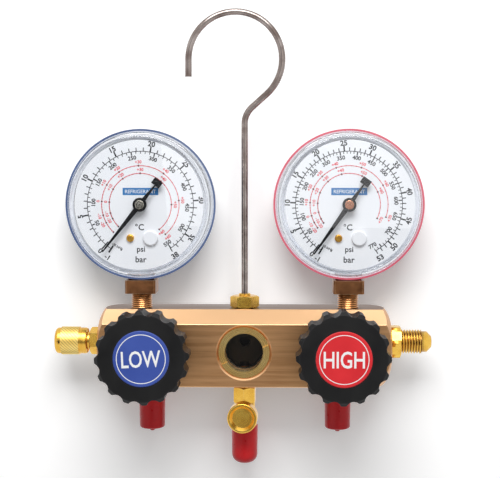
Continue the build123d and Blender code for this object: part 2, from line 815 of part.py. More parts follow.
def gauge(name, x, zero):
    """One dial gauge: socket, case, tube, movement, dial, pointer and window."""
    centre = at(x, 0, gauge_z)
    square_top = gauge_z - flange_radius - socket_top_gap
    square_bottom = gauge_z - socket_square_drop
    neck_bottom = top_z - socket_engagement
    tang_top = gauge_z - tang_top_drop
    tang_middle = (plate_back + plate_thickness + plate_front) / 2
    tang_depth = plate_front - plate_back - plate_thickness
    with BuildPart() as socket:
        with BuildSketch(Plane(origin=at(x, mid_forward, square_bottom), x_dir=RIGHT, z_dir=UP)) as square:
            Rectangle(socket_square, socket_square)
            chamfer(square.vertices(), socket_square_edge)
        extrude(square.sketch, amount=square_top - square_bottom)
        with BuildSketch(Plane(origin=at(x, tang_middle, square_top), x_dir=RIGHT, z_dir=UP)) as tang:
            Rectangle(tang_width, tang_depth)
        extrude(tang.sketch, amount=tang_top - square_top)
        rod(at(x, mid_forward, neck_bottom), UP, socket_neck_radius, square_bottom - neck_bottom)
        slot = tube_section(x, screw_gap, False)
        tube_arc(x, slot, tube_start - plenum_sweep, plenum_sweep + 2 * plenum_sweep, mode=Mode.SUBTRACT)
        passage_top = gauge_z - tube_radius
        passage = at(x, mid_forward, neck_bottom)
        bore(passage, DOWN, socket_passage_radius, passage_top - neck_bottom)
    finish(socket, f"{name}_gauge_socket")

    with BuildPart() as case:
        inner = case_radius - case_wall
        outline = [
            (0, case_back),
            (case_radius, case_back),
            (case_radius, case_mouth - flange_thickness),
            (flange_radius, case_mouth - flange_thickness),
            (flange_radius, case_mouth),
            (inner, case_mouth),
            (inner, case_back + case_wall),
            (0, case_back + case_wall),
        ]
        corners = [
            ((case_radius, case_back), case_corner),
            ((inner, case_back + case_wall), case_corner - case_wall),
        ]
        spin(outline, centre, FRONT, rounds=corners)
        rim_bottom = at(x, tang_middle, gauge_z - flange_radius)
        with BuildSketch(Plane(origin=rim_bottom, x_dir=RIGHT, z_dir=UP)) as gap:
            Rectangle(tang_width + 2 * tang_gap, tang_depth + 2 * tang_gap)
        extrude(gap.sketch, amount=flange_radius - tube_radius, mode=Mode.SUBTRACT)
    finish(case, f"{name}_gauge_case")

    with BuildPart() as window:
        lip = inner - lip_gap
        lip_back = case_mouth - lip_length
        crown = case_mouth + window_height
        outline = [
            (0, crown),
            (window_front_radius, crown),
            (window_foot_radius, case_mouth),
            (lip, case_mouth),
            (lip, lip_back),
            (lip - lip_wall, lip_back),
            (lip - lip_wall, case_mouth + clear_gap),
            (window_front_radius - window_thickness - window_corner, crown - window_thickness),
            (0, crown - window_thickness),
        ]
        spin(outline, centre, FRONT, rounds=[((window_front_radius, crown), window_bevel)])
    finish(window, f"{name}_gauge_window")

    with BuildPart() as dial:
        with BuildSketch(face_on(x, dial_back, gauge_z)) as plate:
            Circle(lip - lip_wall - dial_gap)
            Circle(dial_hole_radius, mode=Mode.SUBTRACT)
            with Locations(*plate_feet):
                Circle(dial_screw_radius + screw_gap, mode=Mode.SUBTRACT)
        extrude(plate.sketch, amount=dial_thickness)
    finish(dial, f"{name}_dial")

    for kind, foot, head, height in (
        ("dial_screw", plate_feet[0], dial_screw_head_radius, dial_screw_head_height),
        ("dial_stud", plate_feet[1], dial_stud_head_radius, dial_stud_head_height),
    ):
        with BuildPart() as fixing:
            outline = [
                (0, plate_front + 2 * screw_gap),
                (dial_screw_radius, plate_front + 2 * screw_gap),
                (dial_screw_radius, case_mouth),
                (head, case_mouth),
                (head, case_mouth + height),
                (0, case_mouth + height),
            ]
            spot = at(x + foot[0], 0, gauge_z + foot[1])
            spin(outline, spot, FRONT, rounds=[((head, case_mouth + height), height / 2)])
        finish(fixing, f"{name}_{kind}")

    with BuildPart() as tube:
        tube_arc(x, tube_section(x, 0.0, True), tube_start, tube_sweep)
        tube_arc(x, tube_section(x, 0.0, False), tube_start + tube_sweep, tube_tip_sweep)
        pin_hole = at(x + tube_tip[0], plate_front, gauge_z + tube_tip[1])
        bore(pin_hole, FRONT, tail_pin_radius + screw_gap, plate_front)
    finish(tube, f"{name}_bourdon_tube")

    with BuildPart() as frame:
        for back in (plate_back, plate_front):
            with BuildSketch(face_on(x, back, gauge_z)) as plate:
                Circle(bearing_margin + pillar_margin)
                with Locations(sector_centre):
                    Circle(bearing_margin)
                with Locations(*pillar_spots, *plate_feet):
                    Circle(pillar_radius + pillar_margin)
                make_hull()
                Circle(arbor_radius + screw_gap, mode=Mode.SUBTRACT)
                with Locations(sector_centre):
                    Circle(arbor_radius, mode=Mode.SUBTRACT)
                with Locations(*plate_feet):
                    Circle(dial_screw_radius + screw_gap, mode=Mode.SUBTRACT)
            extrude(plate.sketch, amount=plate_thickness)
        with BuildSketch(face_on(x, plate_back, gauge_z)) as pillars:
            with Locations(*pillar_spots):
                Circle(pillar_radius)
        extrude(pillars.sketch, amount=plate_front - plate_back + plate_thickness)
        with BuildSketch(face_on(x, plate_front, gauge_z)) as posts:
            with Locations(*plate_feet):
                Circle(pillar_radius + pillar_margin)
                Circle(dial_screw_radius + screw_gap, mode=Mode.SUBTRACT)
        extrude(posts.sketch, amount=dial_back - plate_front)
    finish(frame, f"{name}_movement_frame")

    with BuildPart() as sector:
        first = sector_direction - 180 - (sector_teeth - sector_teeth_above) * pitch_angle
        last = sector_direction - 180 + sector_teeth_above * pitch_angle
        root = sector_pitch - dedendum_share * gear_module
        rim = root - sector_rim
        with BuildSketch(face_on(x, gear_forward, gauge_z)) as wheel:
            with BuildLine():
                outer = CenterArc(sector_centre, root, first, last - first)
                inside = CenterArc(sector_centre, rim, first, last - first)
                Line(outer @ 0, inside @ 0)
                Line(outer @ 1, inside @ 1)
            make_face()
            for index in range(sector_teeth):
                tooth(sector_pitch, first + (index + 0.5) * pitch_angle, sector_centre)
            with Locations(sector_centre):
                Circle(sector_hub_radius)
            for angle in (first + pitch_angle / 2, last - pitch_angle / 2):
                with Locations(polar(rim / 2 + sector_rim / 4, angle, sector_centre)):
                    Rectangle(rim + sector_rim / 2, sector_arm, rotation=angle)
            with Locations(polar(tail_length / 2, tail_direction, sector_centre)):
                Rectangle(tail_length, tail_width, rotation=tail_direction)
            with Locations(tail_end):
                Circle(tail_width / 2)
        extrude(wheel.sketch, amount=gear_thickness)
        arbor_back = plate_back - clear_gap
        arbor_front = plate_front + plate_thickness + clear_gap
        spot = at(x + sector_centre[0], arbor_back, gauge_z + sector_centre[1])
        rod(spot, FRONT, arbor_radius - screw_gap, arbor_front - arbor_back)
        spot = at(x + tail_end[0], gear_forward, gauge_z + tail_end[1])
        rod(spot, FRONT, tail_pin_radius, plate_front - 2 * screw_gap - gear_forward)
    finish(sector, f"{name}_sector_gear")

    with BuildPart() as pinion:
        back = gear_forward - pinion_overhang
        with BuildSketch(face_on(x, back, gauge_z)) as wheel:
            Circle(pinion_pitch - dedendum_share * gear_module)
            for index in range(pinion_teeth):
                tooth(pinion_pitch, sector_direction + index * 360 / pinion_teeth, (0.0, 0.0))
        extrude(wheel.sketch, amount=gear_thickness + 2 * pinion_overhang)
        hub_back = case_mouth + hub_rise
        hub_front = hub_back + hub_height
        arbor_back = plate_back - arbor_end_gap
        arbor_front = hub_front - hub_floor - arbor_front_gap
        rod(at(x, arbor_back, gauge_z), FRONT, arbor_radius, arbor_front - arbor_back)
    finish(pinion, f"{name}_pinion")

    with BuildPart() as link:
        reach = Vector(tube_tip[0] - tail_end[0], tube_tip[1] - tail_end[1])
        middle = ((tail_end[0] + tube_tip[0]) / 2, (tail_end[1] + tube_tip[1]) / 2)
        turn = degrees(atan2(reach.Y, reach.X))
        with BuildSketch(face_on(x, link_forward, gauge_z)) as strip:
            with Locations(middle):
                Rectangle(reach.length, eye_radius, rotation=turn)
            with Locations(tail_end, tube_tip):
                Circle(eye_radius)
                Circle(tail_pin_radius + screw_gap, mode=Mode.SUBTRACT)
        extrude(strip.sketch, amount=link_thickness)
    finish(link, f"{name}_movement_link")

    with BuildPart() as hub:
        outline = [
            (arbor_radius + tight_gap, hub_back),
            (pointer_hub_radius, hub_back),
            (pointer_hub_radius, hub_front),
            (0, hub_front),
            (0, hub_front - hub_floor),
            (arbor_radius + tight_gap, hub_front - hub_floor),
        ]
        spin(outline, centre, FRONT, rounds=[((pointer_hub_radius, hub_front), clear_gap)])
    finish(hub, f"{name}_pointer_hub")

    with BuildPart() as needle:
        heading = (cos(radians(zero)), 0, sin(radians(zero)))
        blade_back = case_mouth + pointer_rise
        ring_back = case_mouth + pointer_ring_rise
        blade = Plane(origin=at(x, blade_back, gauge_z), x_dir=heading, z_dir=FRONT)
        with BuildSketch(blade) as arm:
            with BuildLine():
                Polyline(
                    (-pointer_tail, -pointer_head_half),
                    (-pointer_tail + pointer_head, -pointer_head_half),
                    (-pointer_tail + pointer_head, -pointer_tip_half),
                    (0, -pointer_root_half),
                    (pointer_length, -pointer_tip_half),
                    (pointer_length, pointer_tip_half),
                    (0, pointer_root_half),
                    (-pointer_tail + pointer_head, pointer_tip_half),
                    (-pointer_tail + pointer_head, pointer_head_half),
                    (-pointer_tail, pointer_head_half),
                    close=True,
                )
            make_face()
        extrude(arm.sketch, amount=pointer_thickness)
        rod(at(x, ring_back, gauge_z), FRONT, pointer_ring_radius, pointer_ring_height)
        ring_mouth = at(x, ring_back + pointer_ring_height, gauge_z)
        bore(ring_mouth, FRONT, pointer_hub_radius + tight_gap, pointer_ring_height)
    finish(needle, f"{name}_pointer")


# ------------------------------------------------------------ both sides
for name, side in sides.items():
    hose_mouth = at(side * hose_port_x, mid_forward, bottom_z)
    flare_port(
        f"{name}_hose_port",
        hose_mouth,
        DOWN,
        hose_port_flats,
        hose_port_hex_length,
        hose_port_turn,
        0.0,
        flare_thread_length,
    )
    cap_start = hose_port_hex_length + clear_gap
    vinyl_cap(f"{name}_port_cap", hose_mouth, cap_start, side_cap_length, cone_tail, cone_rounds)
    valve(name, side * valve_x, knob_turns[name])
    gauge(name, side * gauge_x, pointer_angles[name])
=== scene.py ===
# %% [markdown]
# A refrigerant manifold: a brass block with two dial gauges, two handwheels and a hanging hook.
# Its solids come from the imported model, so this script only loads them, gives every one its
# finish and adds what is too fine for the solids: threads, knurling, dial print and lettering.
# The box of each solid is measured here.

# %% load the imported model
import bmesh
import bpy
from math import atan2, pi, radians
from mathutils import Matrix, Vector


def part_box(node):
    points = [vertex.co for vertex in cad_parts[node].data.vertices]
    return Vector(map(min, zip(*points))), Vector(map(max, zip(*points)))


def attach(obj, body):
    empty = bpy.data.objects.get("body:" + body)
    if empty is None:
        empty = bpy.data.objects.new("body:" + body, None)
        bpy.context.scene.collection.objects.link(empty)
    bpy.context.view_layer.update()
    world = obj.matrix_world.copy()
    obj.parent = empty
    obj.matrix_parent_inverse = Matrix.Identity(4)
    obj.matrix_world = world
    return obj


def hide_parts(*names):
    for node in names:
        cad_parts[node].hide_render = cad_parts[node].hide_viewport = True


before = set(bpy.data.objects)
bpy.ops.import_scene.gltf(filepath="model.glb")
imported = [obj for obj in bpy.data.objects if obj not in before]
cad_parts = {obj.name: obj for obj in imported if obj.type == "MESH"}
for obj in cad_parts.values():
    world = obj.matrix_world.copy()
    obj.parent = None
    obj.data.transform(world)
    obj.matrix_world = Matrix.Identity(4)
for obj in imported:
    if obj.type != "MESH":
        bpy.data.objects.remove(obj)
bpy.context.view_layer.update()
MM = 0.001
sides = ("low", "high")

# %% [markdown]
# Places are easier to read off a drawing as millimetres to the right, forward and up. Blender
# works in metres with +Y to the back, so one helper turns the first kind into the second.

# %% from drawing millimetres to scene metres
def place(right, forward, up):
    return Vector((right, -forward, up)) * MM


def facing(right, forward, up):
    """Stands a flat drawing upright, so that its x stays x and its y becomes up."""
    return Matrix.Translation(place(right, forward, up)) @ Matrix.Rotation(radians(90), 4, "X")


# %% [markdown]
# The camera stands half a metre in front, a little above the block, and looks slightly down.
# A long lens keeps the two gauges nearly round. A direction is turned into a rotation with
# to_track_quat, which is shorter and safer than three angles worked out by hand.

# %% camera
camera_data = bpy.data.cameras.new("bench_camera")
camera_data.sensor_width = 36.0
camera_data.lens = 77.92
camera_data.clip_start = 0.05
camera = bpy.data.objects.new("bench_camera", camera_data)
bpy.context.scene.collection.objects.link(camera)
camera.location = place(13.499, 513.0, 78.209)
aim = Vector((-0.02206, 0.99809, -0.05777))
camera.rotation_euler = aim.to_track_quat("-Z", "Y").to_euler()
bpy.context.scene.camera = camera
bpy.context.scene.view_settings.view_transform = "Standard"
print("lens", camera_data.lens)

# %% [markdown]
# Soft light is made with large lamps. One long lamp hangs above and in front and throws the
# shadow down the wall, and a wide one beside the camera opens the shaded sides. The world adds
# the even light of a white room. Rays that see the room directly meet plain white.

# %% lamps
def lamp(name, place_mm, target_mm, size_mm, power):
    data = bpy.data.lights.new(name, "AREA")
    data.shape = "RECTANGLE"
    data.size, data.size_y = size_mm[0] * MM, size_mm[1] * MM
    data.energy = power
    holder = bpy.data.objects.new(name, data)
    bpy.context.scene.collection.objects.link(holder)
    holder.location = place(*place_mm)
    towards = place(*target_mm) - holder.location
    holder.rotation_euler = towards.to_track_quat("-Z", "Y").to_euler()
    return holder


lamp("top_lamp", (0, 590, 730), (0, 10, 30), (700, 420), 8.3)
lamp("front_lamp", (240, 1300, 420), (0, 10, 40), (900, 900), 2.5)

# %% [markdown]
# The room is a world shader. Only a ray that comes straight from the eye, or by way of shiny or
# clear pieces, sees full white: the object itself is lit by the weaker plain light. A white room
# all around would leave metal flat and lay a veil on the windows, so mirrored rays find it
# darker in front, where people stand and no lamp hangs.

# %% white room
world = bpy.data.worlds.new("white_room")
bpy.context.scene.world = world
world.use_nodes = True
room = world.node_tree
room.nodes.clear()
room_paths = room.nodes.new("ShaderNodeLightPath")


def room_maths(operation, first, second, clamp=False):
    step = room.nodes.new("ShaderNodeMath")
    step.operation = operation
    step.use_clamp = clamp
    for socket, source in zip(step.inputs, (first, second)):
        if isinstance(source, float):
            socket.default_value = source
        else:
            room.links.new(source, socket)
    return step.outputs[0]


direction = room.nodes.new("ShaderNodeTexCoord")
split = room.nodes.new("ShaderNodeSeparateXYZ")
room.links.new(direction.outputs["Generated"], split.inputs[0])
front = room_maths("MULTIPLY", split.outputs["Y"], -1.0)
front = room_maths("MULTIPLY", room_maths("SUBTRACT", front, 0.89), 12.0, clamp=True)
dimmed = room_maths("MULTIPLY", front, -0.93)
mirrored_white = room_maths("ADD", dimmed, 1.0)
seen_white = room_maths("MAXIMUM", room_paths.outputs["Is Camera Ray"],
                        room_paths.outputs["Is Transmission Ray"])
direct = room_maths("MAXIMUM", seen_white, room_paths.outputs["Is Glossy Ray"])
first_sight = room_maths("LESS_THAN", room_paths.outputs["Diffuse Depth"], 0.5)
direct = room_maths("MULTIPLY", direct, first_sight)
white_level = room_maths("MAXIMUM", room_paths.outputs["Is Camera Ray"], mirrored_white)

plain_light = room.nodes.new("ShaderNodeBackground")
plain_light.inputs["Strength"].default_value = 0.32
white_light = room.nodes.new("ShaderNodeBackground")
room.links.new(white_level, white_light.inputs["Strength"])
for light in (plain_light, white_light):
    light.inputs["Color"].default_value = (1.0, 1.0, 1.0, 1.0)
choose = room.nodes.new("ShaderNodeMixShader")
room.links.new(direct, choose.inputs[0])
room.links.new(plain_light.outputs[0], choose.inputs[1])
room.links.new(white_light.outputs[0], choose.inputs[2])
room_out = room.nodes.new("ShaderNodeOutputWorld")
room.links.new(choose.outputs[0], room_out.inputs["Surface"])

# %% [markdown]
# The wall right behind the block catches its shadow. It is one-sided: seen from behind it lets
# the eye through, and only the eye meets it, so the back of the block is lit from the room.
# The floor lies lower down and does the same for anything seen from above.

# %% wall and floor
def backdrop(name, matrix, size, glow):
    """A flat pale sheet that keeps shadows, seen from its front only."""
    sheet = bmesh.new()
    bmesh.ops.create_grid(sheet, x_segments=1, y_segments=1, size=size, matrix=matrix)
    mesh = bpy.data.meshes.new(name)
    sheet.to_mesh(mesh)
    sheet.free()
    board = bpy.data.objects.new(name, mesh)
    bpy.context.scene.collection.objects.link(board)
    paint = bpy.data.materials.new(name + "_paint")
    paint.use_nodes = True
    tree = paint.node_tree
    tree.nodes.clear()
    chalk = tree.nodes.new("ShaderNodeBsdfDiffuse")
    chalk.inputs["Color"].default_value = (0.97, 0.97, 0.97, 1.0)
    lift = tree.nodes.new("ShaderNodeEmission")
    lift.inputs["Strength"].default_value = glow
    both = tree.nodes.new("ShaderNodeAddShader")
    tree.links.new(chalk.outputs[0], both.inputs[0])
    tree.links.new(lift.outputs[0], both.inputs[1])
    paths = tree.nodes.new("ShaderNodeLightPath")
    side = tree.nodes.new("ShaderNodeNewGeometry")
    front = tree.nodes.new("ShaderNodeMath")
    front.operation = "SUBTRACT"
    front.use_clamp = True
    tree.links.new(paths.outputs["Is Camera Ray"], front.inputs[0])
    tree.links.new(side.outputs["Backfacing"], front.inputs[1])
    clear = tree.nodes.new("ShaderNodeBsdfTransparent")
    pick = tree.nodes.new("ShaderNodeMixShader")
    tree.links.new(front.outputs[0], pick.inputs[0])
    tree.links.new(clear.outputs[0], pick.inputs[1])
    tree.links.new(both.outputs[0], pick.inputs[2])
    out = tree.nodes.new("ShaderNodeOutputMaterial")
    tree.links.new(pick.outputs[0], out.inputs["Surface"])
    mesh.materials.append(paint)
    return board


backdrop("wall", facing(0, -2.5, 0), 1.4, 0.17)
backdrop("floor", Matrix.Translation(place(0, 0, -240)), 3.0, 0.30)

# %% [markdown]
# Finishes are networks of nodes, and the same few effects come back in most of them. Each
# effect is a node group: a small network with named sockets that is built once and used with
# other values in every material. The helpers below only save typing.

# %% helpers for node networks
def node(tree, kind, **settings):
    made = tree.nodes.new("ShaderNode" + kind)
    for name, value in settings.items():
        setattr(made, name, value)
    return made


def feed(tree, socket, source):
    """Wires a source into a socket, or writes a plain value on it."""
    if isinstance(source, bpy.types.NodeSocket):
        tree.links.new(source, socket)
    elif isinstance(source, tuple) and len(source) == 3 and socket.type == "RGBA":
        socket.default_value = (*source, 1.0)
    else:
        socket.default_value = source


def maths(tree, operation, first, second=0.0, clamp=False):
    step = node(tree, "Math", operation=operation, use_clamp=clamp)
    feed(tree, step.inputs[0], first)
    feed(tree, step.inputs[1], second)
    return step.outputs[0]


def new_group(name, takes, gives):
    """A node group. takes is {name: (socket type, value)} and gives is {name: socket type}."""
    group = bpy.data.node_groups.new(name, "ShaderNodeTree")
    for label, (kind, value) in takes.items():
        socket = group.interface.new_socket(label, in_out="INPUT", socket_type="NodeSocket" + kind)
        if value is not None:
            socket.default_value = value
    for label, kind in gives.items():
        group.interface.new_socket(label, in_out="OUTPUT", socket_type="NodeSocket" + kind)
    return group, group.nodes.new("NodeGroupInput"), group.nodes.new("NodeGroupOutput")


def use(tree, group, **values):
    """Places a group in a network. A socket named Two Words is given as Two_Words."""
    holder = node(tree, "Group", node_tree=group)
    for name, value in values.items():
        feed(tree, holder.inputs[name.replace("_", " ")], value)
    return holder.outputs


# %% [markdown]
# Handled metal is brighter on its corners, where cloths and gloves rub it. The Bevel node gives
# the normal that a rounded corner would have, and where it differs from the true normal there
# is a corner. The difference makes a mask that needs no painting.

# %% worn edges
worn_edge, given, result = new_group(
    "worn_edge", {"Width": ("Float", 0.0004), "Strength": ("Float", 1.0)}, {"Mask": "Float"})
rounded = node(worn_edge, "Bevel", samples=4)
feed(worn_edge, rounded.inputs["Radius"], given.outputs["Width"])
true_normal = node(worn_edge, "NewGeometry")
likeness = node(worn_edge, "VectorMath", operation="DOT_PRODUCT")
feed(worn_edge, likeness.inputs[0], rounded.outputs["Normal"])
feed(worn_edge, likeness.inputs[1], true_normal.outputs["Normal"])
corner = maths(worn_edge, "SUBTRACT", 1.0, likeness.outputs["Value"])
corner = maths(worn_edge, "MULTIPLY", corner, 6.0, clamp=True)
corner = maths(worn_edge, "MULTIPLY", corner, given.outputs["Strength"], clamp=True)
feed(worn_edge, result.inputs["Mask"], corner)

# %% [markdown]
# Brushing leaves long fine scratches. A noise pattern that is squeezed across the stroke and
# stretched along it gives them, and the same group with other stretches serves drawn bar,
# rolled wire and ground flats. The stretch is a vector: a big number means many marks that way.

# %% brush marks
brush_marks, given, result = new_group(
    "brush_marks", {"Position": ("Vector", None), "Stretch": ("Vector", (40.0, 3000.0, 3000.0))},
    {"Marks": "Float"})
squeezed = node(brush_marks, "VectorMath", operation="MULTIPLY")
feed(brush_marks, squeezed.inputs[0], given.outputs["Position"])
feed(brush_marks, squeezed.inputs[1], given.outputs["Stretch"])
streaks = node(brush_marks, "TexNoise")
feed(brush_marks, streaks.inputs["Vector"], squeezed.outputs[0])
feed(brush_marks, streaks.inputs["Scale"], 1.0)
feed(brush_marks, streaks.inputs["Detail"], 4.0)
feed(brush_marks, streaks.inputs["Roughness"], 0.65)
feed(brush_marks, result.inputs["Marks"], streaks.outputs["Fac"])

# %% [markdown]
# A lathe leaves rings round the axis. Every point of a ring has the same distance from the axis
# and the same place along it, so noise that is fed with only those two numbers repeats all the
# way round. The part's axis must be its own Z here, which a Mapping node takes care of.

# %% lathe rings
lathe_rings, given, result = new_group(
    "lathe_rings", {"Position": ("Vector", None), "Fineness": ("Float", 3500.0)}, {"Rings": "Float"})
parts = node(lathe_rings, "SeparateXYZ")
feed(lathe_rings, parts.inputs[0], given.outputs["Position"])
across = node(lathe_rings, "CombineXYZ")
feed(lathe_rings, across.inputs["X"], parts.outputs["X"])
feed(lathe_rings, across.inputs["Y"], parts.outputs["Y"])
distance = node(lathe_rings, "VectorMath", operation="LENGTH")
feed(lathe_rings, distance.inputs[0], across.outputs[0])
ring_place = node(lathe_rings, "CombineXYZ")
feed(lathe_rings, ring_place.inputs["X"], distance.outputs["Value"])
feed(lathe_rings, ring_place.inputs["Y"], parts.outputs["Z"])
ring_noise = node(lathe_rings, "TexNoise")
feed(lathe_rings, ring_noise.inputs["Vector"], ring_place.outputs[0])
feed(lathe_rings, ring_noise.inputs["Scale"], given.outputs["Fineness"])
feed(lathe_rings, ring_noise.inputs["Detail"], 3.0)
feed(lathe_rings, result.inputs["Rings"], ring_noise.outputs["Fac"])

# %% [markdown]
# Bare brass darkens unevenly, and fingers leave smears. Both are soft cloudy patches, made by a
# large noise bent by a second one. A higher Contrast gives smaller patches with firmer edges.

# %% cloudy patches
cloudy, given, result = new_group(
    "cloudy", {"Position": ("Vector", None), "Size": ("Float", 90.0), "Contrast": ("Float", 1.6)},
    {"Patches": "Float"})
bend = node(cloudy, "TexNoise")
feed(cloudy, bend.inputs["Vector"], given.outputs["Position"])
feed(cloudy, bend.inputs["Scale"], given.outputs["Size"])
bent = node(cloudy, "MixRGB", blend_type="ADD")
feed(cloudy, bent.inputs["Fac"], 0.012)
feed(cloudy, bent.inputs["Color1"], given.outputs["Position"])
feed(cloudy, bent.inputs["Color2"], bend.outputs["Color"])
patches = node(cloudy, "TexNoise")
feed(cloudy, patches.inputs["Vector"], bent.outputs[0])
feed(cloudy, patches.inputs["Scale"], given.outputs["Size"])
feed(cloudy, patches.inputs["Detail"], 5.0)
centred = maths(cloudy, "SUBTRACT", patches.outputs["Fac"], 0.5)
firmer = maths(cloudy, "MULTIPLY", centred, given.outputs["Contrast"])
feed(cloudy, result.inputs["Patches"], maths(cloudy, "ADD", firmer, 0.5, clamp=True))

# %% [markdown]
# Moulded plastic, rubber and paint have a fine skin: tiny bumps of one size. Voronoi cells are
# even in size where noise is not, so their distance makes the bumps, with a little noise mixed
# in so that the cells don't line up.

# %% moulded skin
moulded_skin, given, result = new_group(
    "moulded_skin", {"Position": ("Vector", None), "Fineness": ("Float", 2500.0)}, {"Grain": "Float"})
cells = node(moulded_skin, "TexVoronoi", feature="SMOOTH_F1")
feed(moulded_skin, cells.inputs["Vector"], given.outputs["Position"])
feed(moulded_skin, cells.inputs["Scale"], given.outputs["Fineness"])
haze = node(moulded_skin, "TexNoise")
feed(moulded_skin, haze.inputs["Vector"], given.outputs["Position"])
feed(moulded_skin, haze.inputs["Scale"], given.outputs["Fineness"])
mixed = maths(moulded_skin, "ADD", cells.outputs["Distance"], haze.outputs["Fac"])
feed(moulded_skin, result.inputs["Grain"], maths(moulded_skin, "MULTIPLY", mixed, 0.5))

# %% [markdown]
# Some colours change at a circle, such as the rim of a case, or the mouth of a bore where painted shade begins.
# This group measures the distance from an axis that points to the front and tells inside from outside.

# %% inside a circle
round_mask, given, result = new_group(
    "round_mask",
    {"Position": ("Vector", None), "Centre": ("Vector", (0.0, 0.0, 0.0)), "Radius": ("Float", 0.01)},
    {"Inside": "Float"},
)
offset = node(round_mask, "VectorMath", operation="SUBTRACT")
feed(round_mask, offset.inputs[0], given.outputs["Position"])
feed(round_mask, offset.inputs[1], given.outputs["Centre"])
flattened = node(round_mask, "VectorMath", operation="MULTIPLY")
feed(round_mask, flattened.inputs[0], offset.outputs[0])
feed(round_mask, flattened.inputs[1], (1.0, 0.0, 1.0))
reach = node(round_mask, "VectorMath", operation="LENGTH")
feed(round_mask, reach.inputs[0], flattened.outputs[0])
feed(round_mask, result.inputs["Inside"],
     maths(round_mask, "LESS_THAN", reach.outputs["Value"], given.outputs["Radius"]))

# %% [markdown]
# The roots of threads and knurls are painted dark: painted shade in the grooves. How deep a point lies follows
# from its distance to the turning axis, so two radii are enough to tell a root from a crest.

# %% depth in a groove
groove_shade_depth, given, result = new_group(
    "groove_shade_depth",
    {"Position": ("Vector", None), "Root": ("Float", 0.004), "Crest": ("Float", 0.005)},
    {"Height": "Float"},
)
level = node(groove_shade_depth, "VectorMath", operation="MULTIPLY")
feed(groove_shade_depth, level.inputs[0], given.outputs["Position"])
feed(groove_shade_depth, level.inputs[1], (1.0, 1.0, 0.0))
out_by = node(groove_shade_depth, "VectorMath", operation="LENGTH")
feed(groove_shade_depth, out_by.inputs[0], level.outputs[0])
rise = node(groove_shade_depth, "MapRange")
feed(groove_shade_depth, rise.inputs["Value"], out_by.outputs["Value"])
feed(groove_shade_depth, rise.inputs["From Min"], given.outputs["Root"])
feed(groove_shade_depth, rise.inputs["From Max"], given.outputs["Crest"])
feed(groove_shade_depth, result.inputs["Height"], rise.outputs["Result"])

# %% [markdown]
# Every finish starts the same way: a Principled shader, the object's own coordinates and a
# Mapping node that can centre and turn a pattern on one piece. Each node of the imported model
# already lies at its own place, so Object coordinates are real metres on the real object.

# %% the start of a finish
def start_finish(name, centre=None, axis=None):
    """Returns material, network, shader and the position on the piece, its axis turned to Z."""
    material = bpy.data.materials.new(name)
    material.use_nodes = True
    tree = material.node_tree
    shader = tree.nodes["Principled BSDF"]
    where = node(tree, "TexCoord").outputs["Object"]
    if centre is not None:
        turn = node(tree, "Mapping", vector_type="TEXTURE")
        feed(tree, turn.inputs["Location"], tuple(centre))
        turns = {"X": (0.0, pi / 2, 0.0), "Y": (pi / 2, 0.0, 0.0), "Z": (0.0, 0.0, 0.0)}
        feed(tree, turn.inputs["Rotation"], turns[axis])
        feed(tree, turn.inputs["Vector"], where)
        where = turn.outputs[0]
    return material, tree, shader, where


def blend_colours(tree, share, first, second):
    mix = node(tree, "Mix", data_type="RGBA")
    share_in, first_in, second_in = (mix.inputs[index] for index in (0, 6, 7))
    feed(tree, share_in, share)
    feed(tree, first_in, first)
    feed(tree, second_in, second)
    return mix.outputs[2]


def between(tree, value, low, high):
    """Spreads a 0 to 1 value over low to high."""
    spread = node(tree, "MapRange")
    feed(tree, spread.inputs["Value"], value)
    feed(tree, spread.inputs["To Min"], low)
    feed(tree, spread.inputs["To Max"], high)
    return spread.outputs["Result"]


def raise_marks(tree, shader, height, depth_mm, strength=1.0):
    """Turns a height into small bumps of about that depth."""
    bump = node(tree, "Bump")
    bump.inputs["Distance"].default_value = depth_mm * MM
    bump.inputs["Strength"].default_value = strength
    feed(tree, bump.inputs["Height"], height)
    feed(tree, shader.inputs["Normal"], bump.outputs["Normal"])
